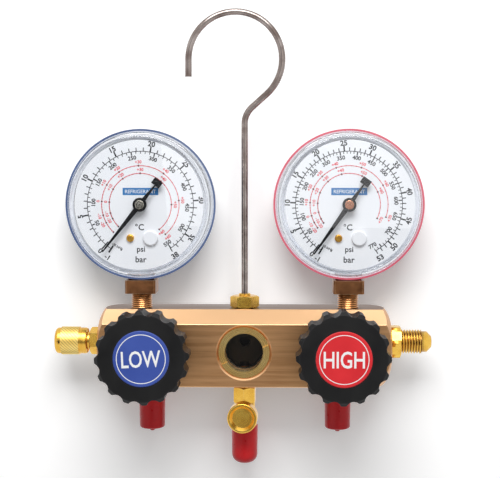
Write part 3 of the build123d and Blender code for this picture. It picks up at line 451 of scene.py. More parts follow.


# %% [markdown]
# The block is extruded brass bar whose front was ground with a belt along its length, then
# left to brown in the air. The long faces keep the belt marks; the sloped edges are painted pale,
# as painted light from above. A mask from the surface's own normal finds those slopes, and is the
# same from every side because it reads the object and not the eye.

# %% block brass
def ground_block_brass():
    material, tree, shader, where = start_finish("ground_block_brass")
    marks = use(tree, brush_marks, Position=where, Stretch=(30.0, 2600.0, 2600.0))["Marks"]
    coarse = use(tree, brush_marks, Position=where, Stretch=(12.0, 420.0, 420.0))["Marks"]
    patches = use(tree, cloudy, Position=where, Size=38.0, Contrast=2.2)["Patches"]
    # The forward slopes, above and below, are painted paler brass: painted light, for the lamp light that the
    # upper slope catches.
    facing_way = node(tree, "SeparateXYZ")
    feed(tree, facing_way.inputs[0], node(tree, "TexCoord").outputs["Normal"])
    tilt = maths(tree, "ABSOLUTE", facing_way.outputs["Z"])
    forwardness = maths(tree, "MULTIPLY", facing_way.outputs["Y"], -1.0)
    lit_slope = maths(tree, "MULTIPLY", tilt, forwardness)
    lit_slope = maths(tree, "MULTIPLY", lit_slope, 2.0, clamp=True)
    browned_and_top_shade = blend_colours(tree, patches, (0.36, 0.165, 0.062), (0.56, 0.29, 0.125))
    browned_and_top_shade = blend_colours(tree, between(tree, coarse, -0.5, 1.3), browned_and_top_shade, (0.86, 0.50, 0.25))
    # The top face is painted dark brown: painted shade on the top of the block.
    top = maths(tree, "GREATER_THAN", facing_way.outputs["Z"], 0.9)
    browned_and_top_shade = blend_colours(tree, top, browned_and_top_shade, (0.16, 0.085, 0.050))
    slopes_painted_light = blend_colours(tree, lit_slope, browned_and_top_shade, (0.74, 0.46, 0.25))
    edge = use(tree, worn_edge, Width=0.0005, Strength=0.75)["Mask"]
    rubbed = blend_colours(tree, edge, slopes_painted_light, (0.92, 0.70, 0.45))
    # Within 8.6 mm of the axis at the middle of the block the brass is painted nearly black: painted shade in the
    # round recess there.
    shaded_bore = use(tree, round_mask, Position=where, Centre=place(0, 0, -1.6), Radius=8.6 * MM)["Inside"]
    along = node(tree, "SeparateXYZ")
    feed(tree, along.inputs[0], where)
    off_the_back = maths(tree, "LESS_THAN", along.outputs["Y"], -1.0 * MM)
    shaded_bore = maths(tree, "MULTIPLY", shaded_bore, off_the_back)
    feed(tree, shader.inputs["Base Color"], blend_colours(tree, shaded_bore, rubbed, (0.030, 0.022, 0.016)))
    shader.inputs["Metallic"].default_value = 1.0
    feed(tree, shader.inputs["Roughness"], between(tree, marks, 0.26, 0.48))
    shader.inputs["Anisotropic"].default_value = 0.5
    raise_marks(tree, shader, marks, 0.02, 0.45)
    return material


# %% [markdown]
# Turned brass is the finish of most fittings: yellow, bright on its corners and a little darker
# in patches. One function builds it for any piece, since only the axis, the place of the axis
# and the two colours change from piece to piece.

# %% turned brass
brass_light = (0.94, 0.62, 0.12)
brass_dark = (0.68, 0.35, 0.045)


def turned_brass(name, centre, axis, light=brass_light, dark=brass_dark, dull=0.16,
                 fineness=3500.0, shaded_grooves=None):
    material, tree, shader, where = start_finish(name, centre, axis)
    rings = use(tree, lathe_rings, Position=where, Fineness=fineness)["Rings"]
    patches = use(tree, cloudy, Position=where, Size=140.0, Contrast=1.8)["Patches"]
    tarnish = blend_colours(tree, patches, dark, light)
    # Thread and knurl roots are painted dark brown: painted shade in the grooves.
    if shaded_grooves:
        root, crest = shaded_grooves
        depth = use(tree, groove_shade_depth, Position=where, Root=root * MM, Crest=crest * MM)["Height"]
        tarnish = blend_colours(tree, depth, (0.16, 0.055, 0.010), tarnish)
    edge = use(tree, worn_edge, Width=0.0003, Strength=0.6)["Mask"]
    feed(tree, shader.inputs["Base Color"], blend_colours(tree, edge, tarnish, (0.98, 0.78, 0.34)))
    shader.inputs["Metallic"].default_value = 1.0
    feed(tree, shader.inputs["Roughness"], between(tree, rings, dull, dull + 0.2))
    raise_marks(tree, shader, rings, 0.012, 0.5)
    return material


# %% dress the block and its brass fittings
def dress(material, *names):
    for name in names:
        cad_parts[name].material_slots[0].material = material


def middle(name):
    low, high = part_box(name)
    return (low + high) / 2


dress(ground_block_brass(), "manifold_block")
axes = {
    "gallery_plug": "X", "sight_glass_ring": "Y", "hook_nut": "Z", "right_end_port": "X",
    "left_end_port": "X", "left_port_cap": "X", "centre_port_tee": "Z", "branch_cap": "Y",
}
for side in sides:
    axes[side + "_hose_port"] = "Z"
    axes[side + "_bonnet"] = "Y"
    axes[side + "_valve_stem"] = "Y"
    axes[side + "_pinion"] = "Y"
# The sight glass ring gets a paler, brighter brass than the other fittings: painted light for the highlights on
# the ring.
ring_painted_light = {"light": (1.0, 0.74, 0.30), "dark": (0.92, 0.56, 0.17)}
for name, axis in axes.items():
    extra = ring_painted_light if name == "sight_glass_ring" else {}
    dress(turned_brass(name + "_brass", middle(name), axis, **extra), name)
print("turned brass pieces", len(axes))

# %% [markdown]
# The gauge sockets came from another batch: a redder brass, sawn and filed, with the browner
# skin of metal that was never polished. The tubes inside are drawn bronze and the movements
# are stamped from sheet brass, which shows rolling marks along its length.

# %% socket, tube and sheet brass
def filed_brass(name, light, dark, stretch, dull, plated=None):
    material, tree, shader, where = start_finish(name)
    marks = use(tree, brush_marks, Position=where, Stretch=stretch)["Marks"]
    patches = use(tree, cloudy, Position=where, Size=120.0, Contrast=2.4)["Patches"]
    tarnish = blend_colours(tree, patches, dark, light)
    edge = use(tree, worn_edge, Width=0.0003, Strength=0.5)["Mask"]
    bright = blend_colours(tree, edge, tarnish, (0.93, 0.68, 0.38))
    if plated:
        inside = use(tree, round_mask, Position=where, Centre=plated, Radius=34.0 * MM)["Inside"]
        bright = blend_colours(tree, inside, bright, (0.86, 0.87, 0.90))
    feed(tree, shader.inputs["Base Color"], bright)
    shader.inputs["Metallic"].default_value = 1.0
    feed(tree, shader.inputs["Roughness"], between(tree, marks, dull, dull + 0.2))
    raise_marks(tree, shader, marks, 0.015, 0.4)
    return material


for side in sides:
    dress(filed_brass(side + "_socket_brass", (0.30, 0.13, 0.055), (0.085, 0.034, 0.015),
                      (1800.0, 1800.0, 60.0), 0.3, middle(side + "_dial")), side + "_gauge_socket")
tube_bronze = filed_brass("drawn_tube_bronze", (0.66, 0.36, 0.18), (0.45, 0.22, 0.11),
                          (900.0, 60.0, 900.0), 0.22)
movement_sheet = filed_brass("movement_sheet_brass", (0.86, 0.62, 0.27), (0.68, 0.44, 0.16),
                             (70.0, 1500.0, 1500.0), 0.2)
for side in sides:
    dress(tube_bronze, side + "_bourdon_tube")
    dress(movement_sheet, side + "_movement_frame", side + "_movement_link", side + "_sector_gear")
    dress(filed_brass(side + "_dial_screw_brass", (0.72, 0.40, 0.07), (0.36, 0.17, 0.025),
                      (2500.0, 2500.0, 2500.0), 0.22), side + "_dial_screw")
dress(turned_brass("low_hub_nickel", middle("low_pointer_hub"), "Y",
                   (0.42, 0.40, 0.35), (0.20, 0.19, 0.16)),
      "low_pointer_hub")
dress(turned_brass("high_hub_copper", middle("high_pointer_hub"), "Y",
                   (0.62, 0.30, 0.19), (0.36, 0.14, 0.08)),
      "high_pointer_hub")

# %% [markdown]
# The hook is bright drawn steel wire. Its die marks run along the wire, which bends, so marks in
# one fixed direction would cross it. Fine even grain and soft smears do better here, and a low
# roughness makes the wire mirror the room.

# %% steel wire and steel screws
def bright_steel(name, tint, shade, dull):
    material, tree, shader, where = start_finish(name)
    smears = use(tree, cloudy, Position=where, Size=160.0, Contrast=2.0)["Patches"]
    grain = use(tree, moulded_skin, Position=where, Fineness=1800.0)["Grain"]
    feed(tree, shader.inputs["Base Color"], blend_colours(tree, smears, shade, tint))
    shader.inputs["Metallic"].default_value = 1.0
    feed(tree, shader.inputs["Roughness"], between(tree, smears, dull, dull + 0.14))
    raise_marks(tree, shader, grain, 0.006, 0.25)
    return material


# The hook's steel is painted dark and brownish, far below bright steel: painted shade and painted reflection on
# the wire.
dress(bright_steel("hook_wire_painted_dark", (0.40, 0.35, 0.33), (0.17, 0.125, 0.11), 0.07), "hanging_hook")
for side in sides:
    dress(bright_steel(side + "_screw_steel", (0.62, 0.62, 0.64), (0.48, 0.48, 0.50), 0.24),
          side + "_knob_screw")

# %% [markdown]
# The knobs are moulded in black plastic with a fine matte skin on the front. Hands polish the
# lobes on the rim, so the corners are smoother and shinier than the face. The rim mask comes
# from the worn-edge group with a wide radius.

# %% knob plastic
def knob_plastic(name, centre):
    material, tree, shader, where = start_finish(name, centre, "Y")
    grain = use(tree, moulded_skin, Position=where, Fineness=1500.0)["Grain"]
    smears = use(tree, cloudy, Position=where, Size=70.0, Contrast=2.0)["Patches"]
    rub = use(tree, worn_edge, Width=0.0012, Strength=1.0)["Mask"]
    body = blend_colours(tree, smears, (0.004, 0.004, 0.0045), (0.009, 0.009, 0.009))
    feed(tree, shader.inputs["Base Color"], blend_colours(tree, rub, body, (0.026, 0.025, 0.027)))
    dull = between(tree, smears, 0.40, 0.56)
    worn = maths(tree, "MULTIPLY", rub, 0.22)
    feed(tree, shader.inputs["Roughness"], maths(tree, "SUBTRACT", dull, worn))
    shader.inputs["Specular IOR Level"].default_value = 0.2
    raise_marks(tree, shader, grain, 0.03, 0.35)
    return material


for side in sides:
    dress(knob_plastic(side + "_knob_plastic", middle(side + "_knob")), side + "_knob")

# %% [markdown]
# Red vinyl caps are dipped, not moulded: soft, a little glossy, with a deeper red towards the
# closed end, which points down, and dust caught in the surface. Some light gets under the skin,
# which the shader's subsurface weight imitates.

# %% vinyl, rubber, labels and paint
def soft_vinyl(name, centre):
    material, tree, shader, where = start_finish(name, centre, "Z")
    along_cap = node(tree, "SeparateXYZ")
    feed(tree, along_cap.inputs[0], where)
    depth = maths(tree, "MULTIPLY", along_cap.outputs["Z"], 55.0)
    depth = maths(tree, "ADD", depth, 0.5, clamp=True)
    dust = use(tree, moulded_skin, Position=where, Fineness=900.0)["Grain"]
    smears = use(tree, cloudy, Position=where, Size=200.0, Contrast=2.0)["Patches"]
    red = blend_colours(tree, depth, (0.46, 0.004, 0.009), (0.74, 0.008, 0.012))
    faded = maths(tree, "MULTIPLY", smears, 0.30)
    feed(tree, shader.inputs["Base Color"], blend_colours(tree, faded, red, (0.84, 0.035, 0.035)))
    feed(tree, shader.inputs["Roughness"], between(tree, smears, 0.24, 0.46))
    shader.inputs["Specular IOR Level"].default_value = 0.3
    shader.inputs["Subsurface Weight"].default_value = 0.15
    shader.inputs["Subsurface Scale"].default_value = 0.002
    raise_marks(tree, shader, dust, 0.03, 0.3)
    return material


def skinned(name, light, dark, dull, fineness, depth_mm, coat=0.0, shine=0.5, centre=None, axis=None):
    """Paint, printed plastic or rubber: one colour in two shades under a fine skin."""
    material, tree, shader, where = start_finish(name, centre, axis)
    grain = use(tree, moulded_skin, Position=where, Fineness=fineness)["Grain"]
    smears = use(tree, cloudy, Position=where, Size=80.0, Contrast=1.8)["Patches"]
    feed(tree, shader.inputs["Base Color"], blend_colours(tree, smears, dark, light))
    feed(tree, shader.inputs["Roughness"], between(tree, smears, dull, dull + 0.15))
    shader.inputs["Coat Weight"].default_value = coat
    shader.inputs["Specular IOR Level"].default_value = shine
    raise_marks(tree, shader, grain, depth_mm, 0.3)
    return material


for name in ("low_port_cap", "high_port_cap", "centre_port_cap"):
    dress(soft_vinyl(name + "_vinyl", middle(name)), name)
rubber = skinned("seal_rubber_skin", (0.035, 0.035, 0.036), (0.018, 0.018, 0.019), 0.5, 2200.0, 0.03)
dress(rubber, "sight_glass_seal", "low_stem_seal", "high_stem_seal")
label_paint = {
    "low": skinned("low_label_blue", (0.040, 0.085, 0.38), (0.032, 0.068, 0.33), 0.30, 2600.0, 0.01, 0.4),
    "high": skinned("high_label_red", (0.74, 0.016, 0.024), (0.64, 0.012, 0.020), 0.30, 2600.0, 0.01, 0.4),
}
dial_paint = skinned("dial_white_enamel", (0.93, 0.935, 0.95), (0.90, 0.905, 0.92), 0.42, 2400.0, 0.01)
seal_white = skinned("window_seal_rubber", (0.90, 0.90, 0.92), (0.84, 0.85, 0.88), 0.5, 1800.0, 0.02)
pointer_paint = skinned("pointer_black_paint", (0.010, 0.010, 0.011), (0.004, 0.004, 0.005),
                        0.38, 2600.0, 0.01, shine=0.15)
for side in sides:
    dress(label_paint[side], side + "_knob_label")
    dress(dial_paint, side + "_dial", side + "_dial_stud")
    dress(pointer_paint, side + "_pointer")

# %% [markdown]
# The case of a gauge is enamelled in the colour of its side, but that colour only shows as a
# thin line around the window. Inside it is white, so that the dial looks bright right up to its
# edge. One material does both: a mask by distance from the middle of the dial changes colour.

# %% case enamel with a white inside
def case_enamel(name, centre, colour, shade):
    material, tree, shader, where = start_finish(name)
    smears = use(tree, cloudy, Position=where, Size=80.0, Contrast=1.8)["Patches"]
    grain = use(tree, moulded_skin, Position=where, Fineness=1400.0)["Grain"]
    outside = blend_colours(tree, smears, shade, colour)
    inner = use(tree, round_mask, Position=where, Centre=centre, Radius=33.7 * MM)["Inside"]
    forward = node(tree, "SeparateXYZ")
    feed(tree, forward.inputs[0], where)
    near_front = maths(tree, "LESS_THAN", forward.outputs["Y"], -15.7 * MM)
    cavity = use(tree, round_mask, Position=where, Centre=centre, Radius=32.2 * MM)["Inside"]
    white = maths(tree, "MAXIMUM", maths(tree, "MULTIPLY", inner, near_front), cavity)
    facing_way = node(tree, "SeparateXYZ")
    feed(tree, facing_way.inputs[0], node(tree, "NewGeometry").outputs["Normal"])
    not_the_back = maths(tree, "LESS_THAN", facing_way.outputs["Y"], 0.3)
    white = maths(tree, "MULTIPLY", white, not_the_back)
    feed(tree, shader.inputs["Base Color"], blend_colours(tree, white, outside, (0.86, 0.88, 0.92)))
    feed(tree, shader.inputs["Roughness"], between(tree, smears, 0.16, 0.31))
    shader.inputs["Coat Weight"].default_value = 0.6
    raise_marks(tree, shader, grain, 0.02, 0.3)
    return material


case_colours = {
    "low": ((0.10, 0.15, 0.30), (0.065, 0.10, 0.22)),
    "high": ((0.74, 0.15, 0.21), (0.62, 0.09, 0.14)),
}
for side in sides:
    where_dial = (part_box(side + "_dial")[0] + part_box(side + "_dial")[1]) / 2
    dress(case_enamel(side + "_case_enamel", where_dial, *case_colours[side]), side + "_gauge_case")

# %% [markdown]
# The windows are clear moulded plastic. A refracting shader alone would put the dial in shadow,
# because light can't be traced straight through it, so rays that only carry light to the dial
# meet a transparent shader instead. Shadow rays and diffuse rays both do so: with shadow rays
# alone the dial burns out to white.

# %% clear window and sight glass
def clear_pane(name, tint, dull, refraction):
    material, tree, shader, where = start_finish(name)
    smears = use(tree, cloudy, Position=where, Size=60.0, Contrast=1.6)["Patches"]
    feed(tree, shader.inputs["Base Color"], blend_colours(tree, smears, tint, (1.0, 1.0, 1.0)))
    shader.inputs["Transmission Weight"].default_value = 1.0
    shader.inputs["IOR"].default_value = refraction
    feed(tree, shader.inputs["Roughness"], between(tree, smears, 0.0, dull))
    let_through = node(tree, "BsdfTransparent")
    let_through.inputs["Color"].default_value = (*tint, 1.0)
    paths = node(tree, "LightPath")
    pick = node(tree, "MixShader")
    straight = maths(tree, "MAXIMUM", paths.outputs["Is Shadow Ray"], paths.outputs["Is Diffuse Ray"])
    feed(tree, pick.inputs[0], straight)
    tree.links.new(shader.outputs[0], pick.inputs[1])
    tree.links.new(let_through.outputs[0], pick.inputs[2])
    tree.links.new(pick.outputs[0], tree.nodes["Material Output"].inputs["Surface"])
    return material


window_plastic = clear_pane("window_clear_plastic", (0.965, 0.975, 0.99), 0.02, 1.49)
dress(window_plastic, "low_gauge_window", "high_gauge_window")
dress(clear_pane("sight_glass_pane", (0.93, 0.95, 0.93), 0.03, 1.52), "sight_glass")

# %% [markdown]
# A dial is printed with black and red ink on white enamel. Ink has almost no thickness, so the
# marks are flat meshes that lie a few hundredths of a millimetre above the plate. Real marks
# look better than a picture of them, because they stay sharp from any distance.

# %% ink and print finishes
def printed_ink(name, colour, worn_colour):
    """Ink that covers a little unevenly, as screen printing does."""
    material, tree, shader, where = start_finish(name)
    cover = use(tree, moulded_skin, Position=where, Fineness=5000.0)["Grain"]
    thin = use(tree, cloudy, Position=where, Size=400.0, Contrast=1.5)["Patches"]
    worn = maths(tree, "MULTIPLY", thin, cover)
    feed(tree, shader.inputs["Base Color"], blend_colours(tree, worn, colour, worn_colour))
    feed(tree, shader.inputs["Roughness"], between(tree, thin, 0.38, 0.52))
    shader.inputs["Specular IOR Level"].default_value = 0.12
    return material


black_ink = printed_ink("dial_black_ink", (0.010, 0.010, 0.012), (0.05, 0.05, 0.055))
red_ink = printed_ink("dial_red_ink", (0.80, 0.045, 0.070), (0.90, 0.25, 0.26))
blue_ink = printed_ink("dial_blue_ink", (0.035, 0.19, 0.47), (0.07, 0.26, 0.55))
white_ink = printed_ink("label_white_ink", (0.90, 0.90, 0.90), (0.80, 0.80, 0.80))

# %% [markdown]
# Lettering starts as a Text curve, which knows the shapes of letters. It is made a mesh first,
# then scaled to the wanted height and laid on the piece with one matrix, so that its place is
# in its mesh and not in an object's transform.

# %% lettering
def lettering(words, height, width=None, weight=0.0):
    """A flat mesh of the words, centred, with the height of a capital in millimetres."""
    curve = bpy.data.curves.new("words", "FONT")
    curve.body = words
    curve.resolution_u = 3
    curve.offset = weight
    holder = bpy.data.objects.new("words", curve)
    mesh = bpy.data.meshes.new_from_object(holder)
    bpy.data.objects.remove(holder)
    bpy.data.curves.remove(curve)
    rights = [vertex.co.x for vertex in mesh.vertices]
    middle_x = (max(rights) + min(rights)) / 2
    capital = 0.69  # share of the text size that a capital fills
    tall = height * MM / capital
    wide = tall if width is None else width * MM / (max(rights) - min(rights))
    centre = Matrix.Translation((-middle_x, -capital / 2, 0))
    mesh.transform(Matrix.Diagonal((wide, tall, 1, 1)) @ centre)
    return mesh


def to_piece(form, name, material, body):
    """Makes an object of a bmesh and lets it ride on a body."""
    mesh = bpy.data.meshes.new(name)
    form.to_mesh(mesh)
    form.free()
    mesh.materials.append(material)
    piece = bpy.data.objects.new(name, mesh)
    bpy.context.scene.collection.objects.link(piece)
    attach(piece, body)
    return piece


# %% [markdown]
# Every mark on a dial has a direction and a distance from the centre. Directions are measured
# clockwise from the top, as a clock hand turns. Two small helpers lay a bar or a word there:
# words stand with their tops outward, and turn over in the lower part so that they stay easy
# to read.

# %% marks on a dial
def on_dial(clockwise, radius, spin=0.0):
    """Moves a flat shape out to a radius and turns it, on a plate that looks up +Z."""
    return (Matrix.Rotation(radians(-clockwise), 4, "Z")
            @ Matrix.Translation((0, radius * MM, 0))
            @ Matrix.Rotation(radians(spin), 4, "Z"))


def add_bar(form, clockwise, start, end, width):
    """A short radial bar."""
    size = Matrix.Diagonal((width * MM, (end - start) * MM, 1, 1))
    bmesh.ops.create_grid(form, x_segments=1, y_segments=1, size=0.5,
                          matrix=on_dial(clockwise, (start + end) / 2) @ size)


def add_arc(form, radius, width, first, last, steps=120):
    """A thin ring or part of one, spun from a short edge."""
    edge = [form.verts.new((0, reach * MM, 0)) for reach in (radius - width / 2, radius + width / 2)]
    line = form.edges.new(edge)
    bmesh.ops.rotate(form, verts=edge, cent=(0, 0, 0), matrix=Matrix.Rotation(radians(-first), 3, "Z"))
    bmesh.ops.spin(form, geom=edge + [line], cent=(0, 0, 0), axis=(0, 0, 1),
                   angle=-radians(last - first), steps=steps, use_merge=last - first >= 360)


def add_words(form, words, height, clockwise, radius, weight=0.03):
    """A word or number that follows the dial's round."""
    turned = (clockwise + 180) % 360 - 180
    flip = 180.0 if abs(turned) > 105 else 0.0
    mesh = lettering(words, height, weight=weight)
    mesh.transform(on_dial(clockwise, radius, flip))
    form.from_mesh(mesh)
    bpy.data.meshes.remove(mesh)


def level_words(form, words, height, right, up, **style):
    """A word that stays level."""
    mesh = lettering(words, height, **style)
    mesh.transform(Matrix.Translation((right * MM, up * MM, 0)))
    form.from_mesh(mesh)
    bpy.data.meshes.remove(mesh)


# %% [markdown]
# The two dials differ in their range. Pressure in bar is on the outside of the scale line and
# in psi on the inside, and the two red rings give the boiling temperature of two common
# refrigerants, whose steps grow with pressure. Each dial is described by its own few values.

# %% what is printed on each dial
dials = {
    "low": {
        "centre": (-47.8, 65.3), "zero": 221.1, "per_bar": 7.49, "bars": 38,
        "bar_words": [0, 5, 10, 15, 20, 25, 30, 35, 38], "psi_end": 550,
        "psi_words": [50, 100, 150, 200, 250, 300, 350, 400, 450, 500, 550],
        "outer": [(-40, 224.4), (-20, 242.0), (-10, 254.0), (0, 274.5), (10, 300.4), (20, 327.0),
                  (30, 357.5), (40, 397.0), (50, 444.0), (60, 500.0)],
        "inner": [(-40, 225.0), (-20, 243.0), (-10, 254.2), (0, 274.5), (10, 299.4), (20, 326.0),
                  (30, 360.0), (40, 401.7), (50, 450.0), (60, 503.0)],
    },
    "high": {
        "centre": (47.8, 65.3), "zero": 216.8, "per_bar": 5.52, "bars": 53,
        "bar_words": [0, 5, 10, 15, 20, 25, 30, 35, 40, 45, 50, 53], "psi_end": 770,
        "psi_words": [50, 100, 150, 200, 250, 300, 350, 400, 450, 500, 550, 600, 650, 700, 770],
        "outer": [(-20, 233.4), (-10, 242.7), (0, 253.5), (10, 273.0), (20, 293.5), (30, 316.5),
                  (40, 340.6), (50, 378.2), (60, 420.2), (70, 468.7)],
        "inner": [(-20, 234.0), (-10, 243.3), (0, 256.0), (10, 272.6), (20, 292.4), (30, 317.8),
                  (40, 346.0), (50, 384.4), (60, 426.0), (70, 476.0)],
    },
}
psi_per_bar = 14.504
scale_radius = 24.4
red_outer, red_inner = 17.8, 14.3
ink_rise = 17.03  # forward place of the ink, just in front of the dial


def scale_angle(dial, bar):
    return dial["zero"] + dial["per_bar"] * bar


# %% black ink: ticks, bar and psi numbers, units
def black_print(dial):
    form = bmesh.new()
    for bar in range(0, dial["bars"] + 1):
        major = bar % 5 == 0
        reach = 2.5 if major else 1.7
        add_bar(form, scale_angle(dial, bar), scale_radius - 0.1, scale_radius + reach,
                0.66 if major else 0.42)
    for psi in range(0, dial["psi_end"] + 1, 10):
        major = psi % 50 == 0
        reach = 1.7 if major else 1.1
        add_bar(form, scale_angle(dial, psi / psi_per_bar), scale_radius - reach, scale_radius + 0.1,
                0.52 if major else 0.32)
    add_bar(form, scale_angle(dial, -1), scale_radius - 1.6, scale_radius + 2.1, 0.75)
    add_arc(form, scale_radius, 0.3, scale_angle(dial, -1), scale_angle(dial, dial["bars"]))
    add_words(form, "-1", 2.2, scale_angle(dial, -1) - 1.0, 28.6)
    for bar in dial["bar_words"]:
        add_words(form, str(bar), 2.3, scale_angle(dial, bar), 28.2)
    for psi in dial["psi_words"]:
        add_words(form, str(psi), 1.75, scale_angle(dial, psi / psi_per_bar), 21.6)
    add_words(form, "-30 inHg", 1.1, scale_angle(dial, -1) - 4.5, 22.0)
    level_words(form, "°C", 2.7, -0.4, -10.4, weight=0.015)
    level_words(form, "psi", 2.5, 0.2, -20.4, weight=0.015)
    level_words(form, "bar", 2.7, 0.2, -25.2, weight=0.015)
    return form


# %% red ink: two temperature rings
def red_print(dial):
    form = bmesh.new()
    for ring, radius, away in (("outer", red_outer, 1.75), ("inner", red_inner, 1.75)):
        steps = dial[ring]
        add_arc(form, radius, 0.32, steps[0][1], steps[-1][1])
        for (_, angle), (_, next_angle) in zip(steps, steps[1:]):
            for part in range(5):
                share = angle + (next_angle - angle) * part / 5
                heavy = part == 0
                half = 0.42 if heavy else 0.26
                add_bar(form, share, radius - half, radius + half, 0.6 if heavy else 0.34)
        add_bar(form, steps[-1][1], radius - 0.42, radius + 0.42, 0.5)
        for warm, angle in steps:
            if warm >= -20:
                add_words(form, f"{warm:+d}" if warm else "0", 1.35, angle, radius + away)
    return form


# %% dark dots on the red rings and the blue band
def dot_print(dial):
    form = bmesh.new()
    for ring, radius in (("outer", red_outer), ("inner", red_inner)):
        for warm, angle in dial[ring]:
            add_bar(form, angle, radius - 0.38, radius + 0.38, 0.55)
    return form


def band_print():
    """A plain blue band, where such dials carry a name; its general word is made separately."""
    form = bmesh.new()
    size = Matrix.Diagonal((16.4 * MM, 3.3 * MM, 1, 1))
    bmesh.ops.create_grid(form, x_segments=1, y_segments=1, size=0.5,
                          matrix=Matrix.Translation((0.1 * MM, 6.0 * MM, 0)) @ size)
    return form


for side in sides:
    dial = dials[side]
    plate = facing(dial["centre"][0], ink_rise, dial["centre"][1])
    higher = facing(dial["centre"][0], ink_rise + 0.02, dial["centre"][1])
    words = bmesh.new()
    level_words(words, "REFRIGERANT", 1.6, 0.1, 6.0, width=14.2, weight=0.01)
    prints = (
        ("scale_print", black_print(dial), black_ink, plate, "pointer_black"),
        ("temperature_print", red_print(dial), red_ink, plate, "high_label"),
        ("temperature_dots", dot_print(dial), black_ink, higher, "pointer_black"),
        ("band_print", band_print(), blue_ink, plate, "low_label"),
        ("band_words", words, white_ink, higher, "dial_white"),
    )
    for label, form, ink, spot, slot in prints:
        bmesh.ops.transform(form, matrix=spot, verts=form.verts)
        made = to_piece(form, side + "_" + label, ink, "block")
        print(made.name, "faces", len(made.data.polygons))

# %% [markdown]
# A white ring seals the joint between window and case. It lies behind the clear lip of the
# window, so it is seen through the lip and makes the border of the dial bright.

# %% window seal
for side in sides:
    ring = bmesh.new()
    corners = [ring.verts.new((reach * MM, 0, height * MM)) for reach, height in
               ((30.45, 0.0), (31.75, 0.0), (31.75, 0.4), (30.45, 0.4))]
    face = ring.faces.new(corners)
    edges = list(face.edges)
    bmesh.ops.delete(ring, geom=[face], context="FACES_ONLY")
    bmesh.ops.spin(ring, geom=corners + edges, cent=(0, 0, 0), axis=(0, 0, 1), angle=2 * pi, steps=96,
                   use_merge=True)
    bmesh.ops.remove_doubles(ring, verts=ring.verts, dist=0.001 * MM)
    bmesh.ops.recalc_face_normals(ring, faces=ring.faces)
    spot = dials[side]["centre"]
    bmesh.ops.transform(ring, matrix=facing(spot[0], 15.1, spot[1]), verts=ring.verts)
    seal = to_piece(ring, side + "_window_seal", seal_white, "block")
    print(seal.name, "faces", len(seal.data.polygons))

# %% [markdown]
# The knob labels are printed discs: a thin white ring, and LOW or HIGH in wide capitals. They
# ride on the spindle, so the words turn with the knob.

# %% knob label print
knob_print = {
    "low": {"centre": (-43.8, -0.5), "word": "LOW", "turn": 2.5, "width": 17.1},
    "high": {"centre": (43.8, -0.5), "word": "HIGH", "turn": 0.0, "width": 17.7},
}
for side, mark in knob_print.items():
    form = bmesh.new()
    add_arc(form, 10.6, 0.34, 0, 360, steps=96)
    level_words(form, mark["word"], 7.0, 0.0, 0.0, width=mark["width"], weight=0.012)
    turn = Matrix.Rotation(radians(mark["turn"]), 4, "Z")
    spot = facing(mark["centre"][0], 51.515, mark["centre"][1]) @ turn
    bmesh.ops.transform(form, matrix=spot, verts=form.verts)
    to_piece(form, side + "_label_print", white_ink, side + "_spindle")

# %% [markdown]
# Threads are too fine for the solids, which carry plain cylinders. A thread is one V that winds
# around: spin turns a short profile about the axis and moves it along by one pitch per turn, so
# the end of each turn meets the start of the next. The plain cylinder is taken out of a copy of
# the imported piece, the thread is put in its place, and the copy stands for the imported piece.

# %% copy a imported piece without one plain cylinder
def along_axis(point, axis):
    return point.x if axis == "X" else point.z


def from_axis(point, centre, axis):
    """Distance of a point from an axis through centre."""
    off = point - centre
    return Vector((off.y, off.z)).length if axis == "X" else Vector((off.x, off.y)).length


def without_cylinder(name, centre, axis, radius, first, last):
    form = bmesh.new()
    form.from_mesh(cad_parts[name].data)
    bmesh.ops.remove_doubles(form, verts=form.verts, dist=0.001 * MM)
    near = 0.03 * MM
    plain = [
        face for face in form.faces
        if all(abs(from_axis(vert.co, centre, axis) - radius) < near
               and first - near < along_axis(vert.co, axis) < last + near for vert in face.verts)
    ]
    bmesh.ops.delete(form, geom=plain, context="FACES")
    print(name, "plain faces taken out:", len(plain))
    return form


def stand_in(form, node_name, body, suffix, cut_finish):
    """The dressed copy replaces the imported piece, keeps its finish and has a second for the cuts."""
    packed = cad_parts[node_name]
    piece = to_piece(form, node_name + suffix, packed.material_slots[0].material, body)
    piece.data.materials.append(cut_finish)
    for face in piece.data.polygons:
        face.use_smooth = True
    piece.data.set_sharp_from_angle(angle=radians(32))
    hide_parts(node_name)
    return piece


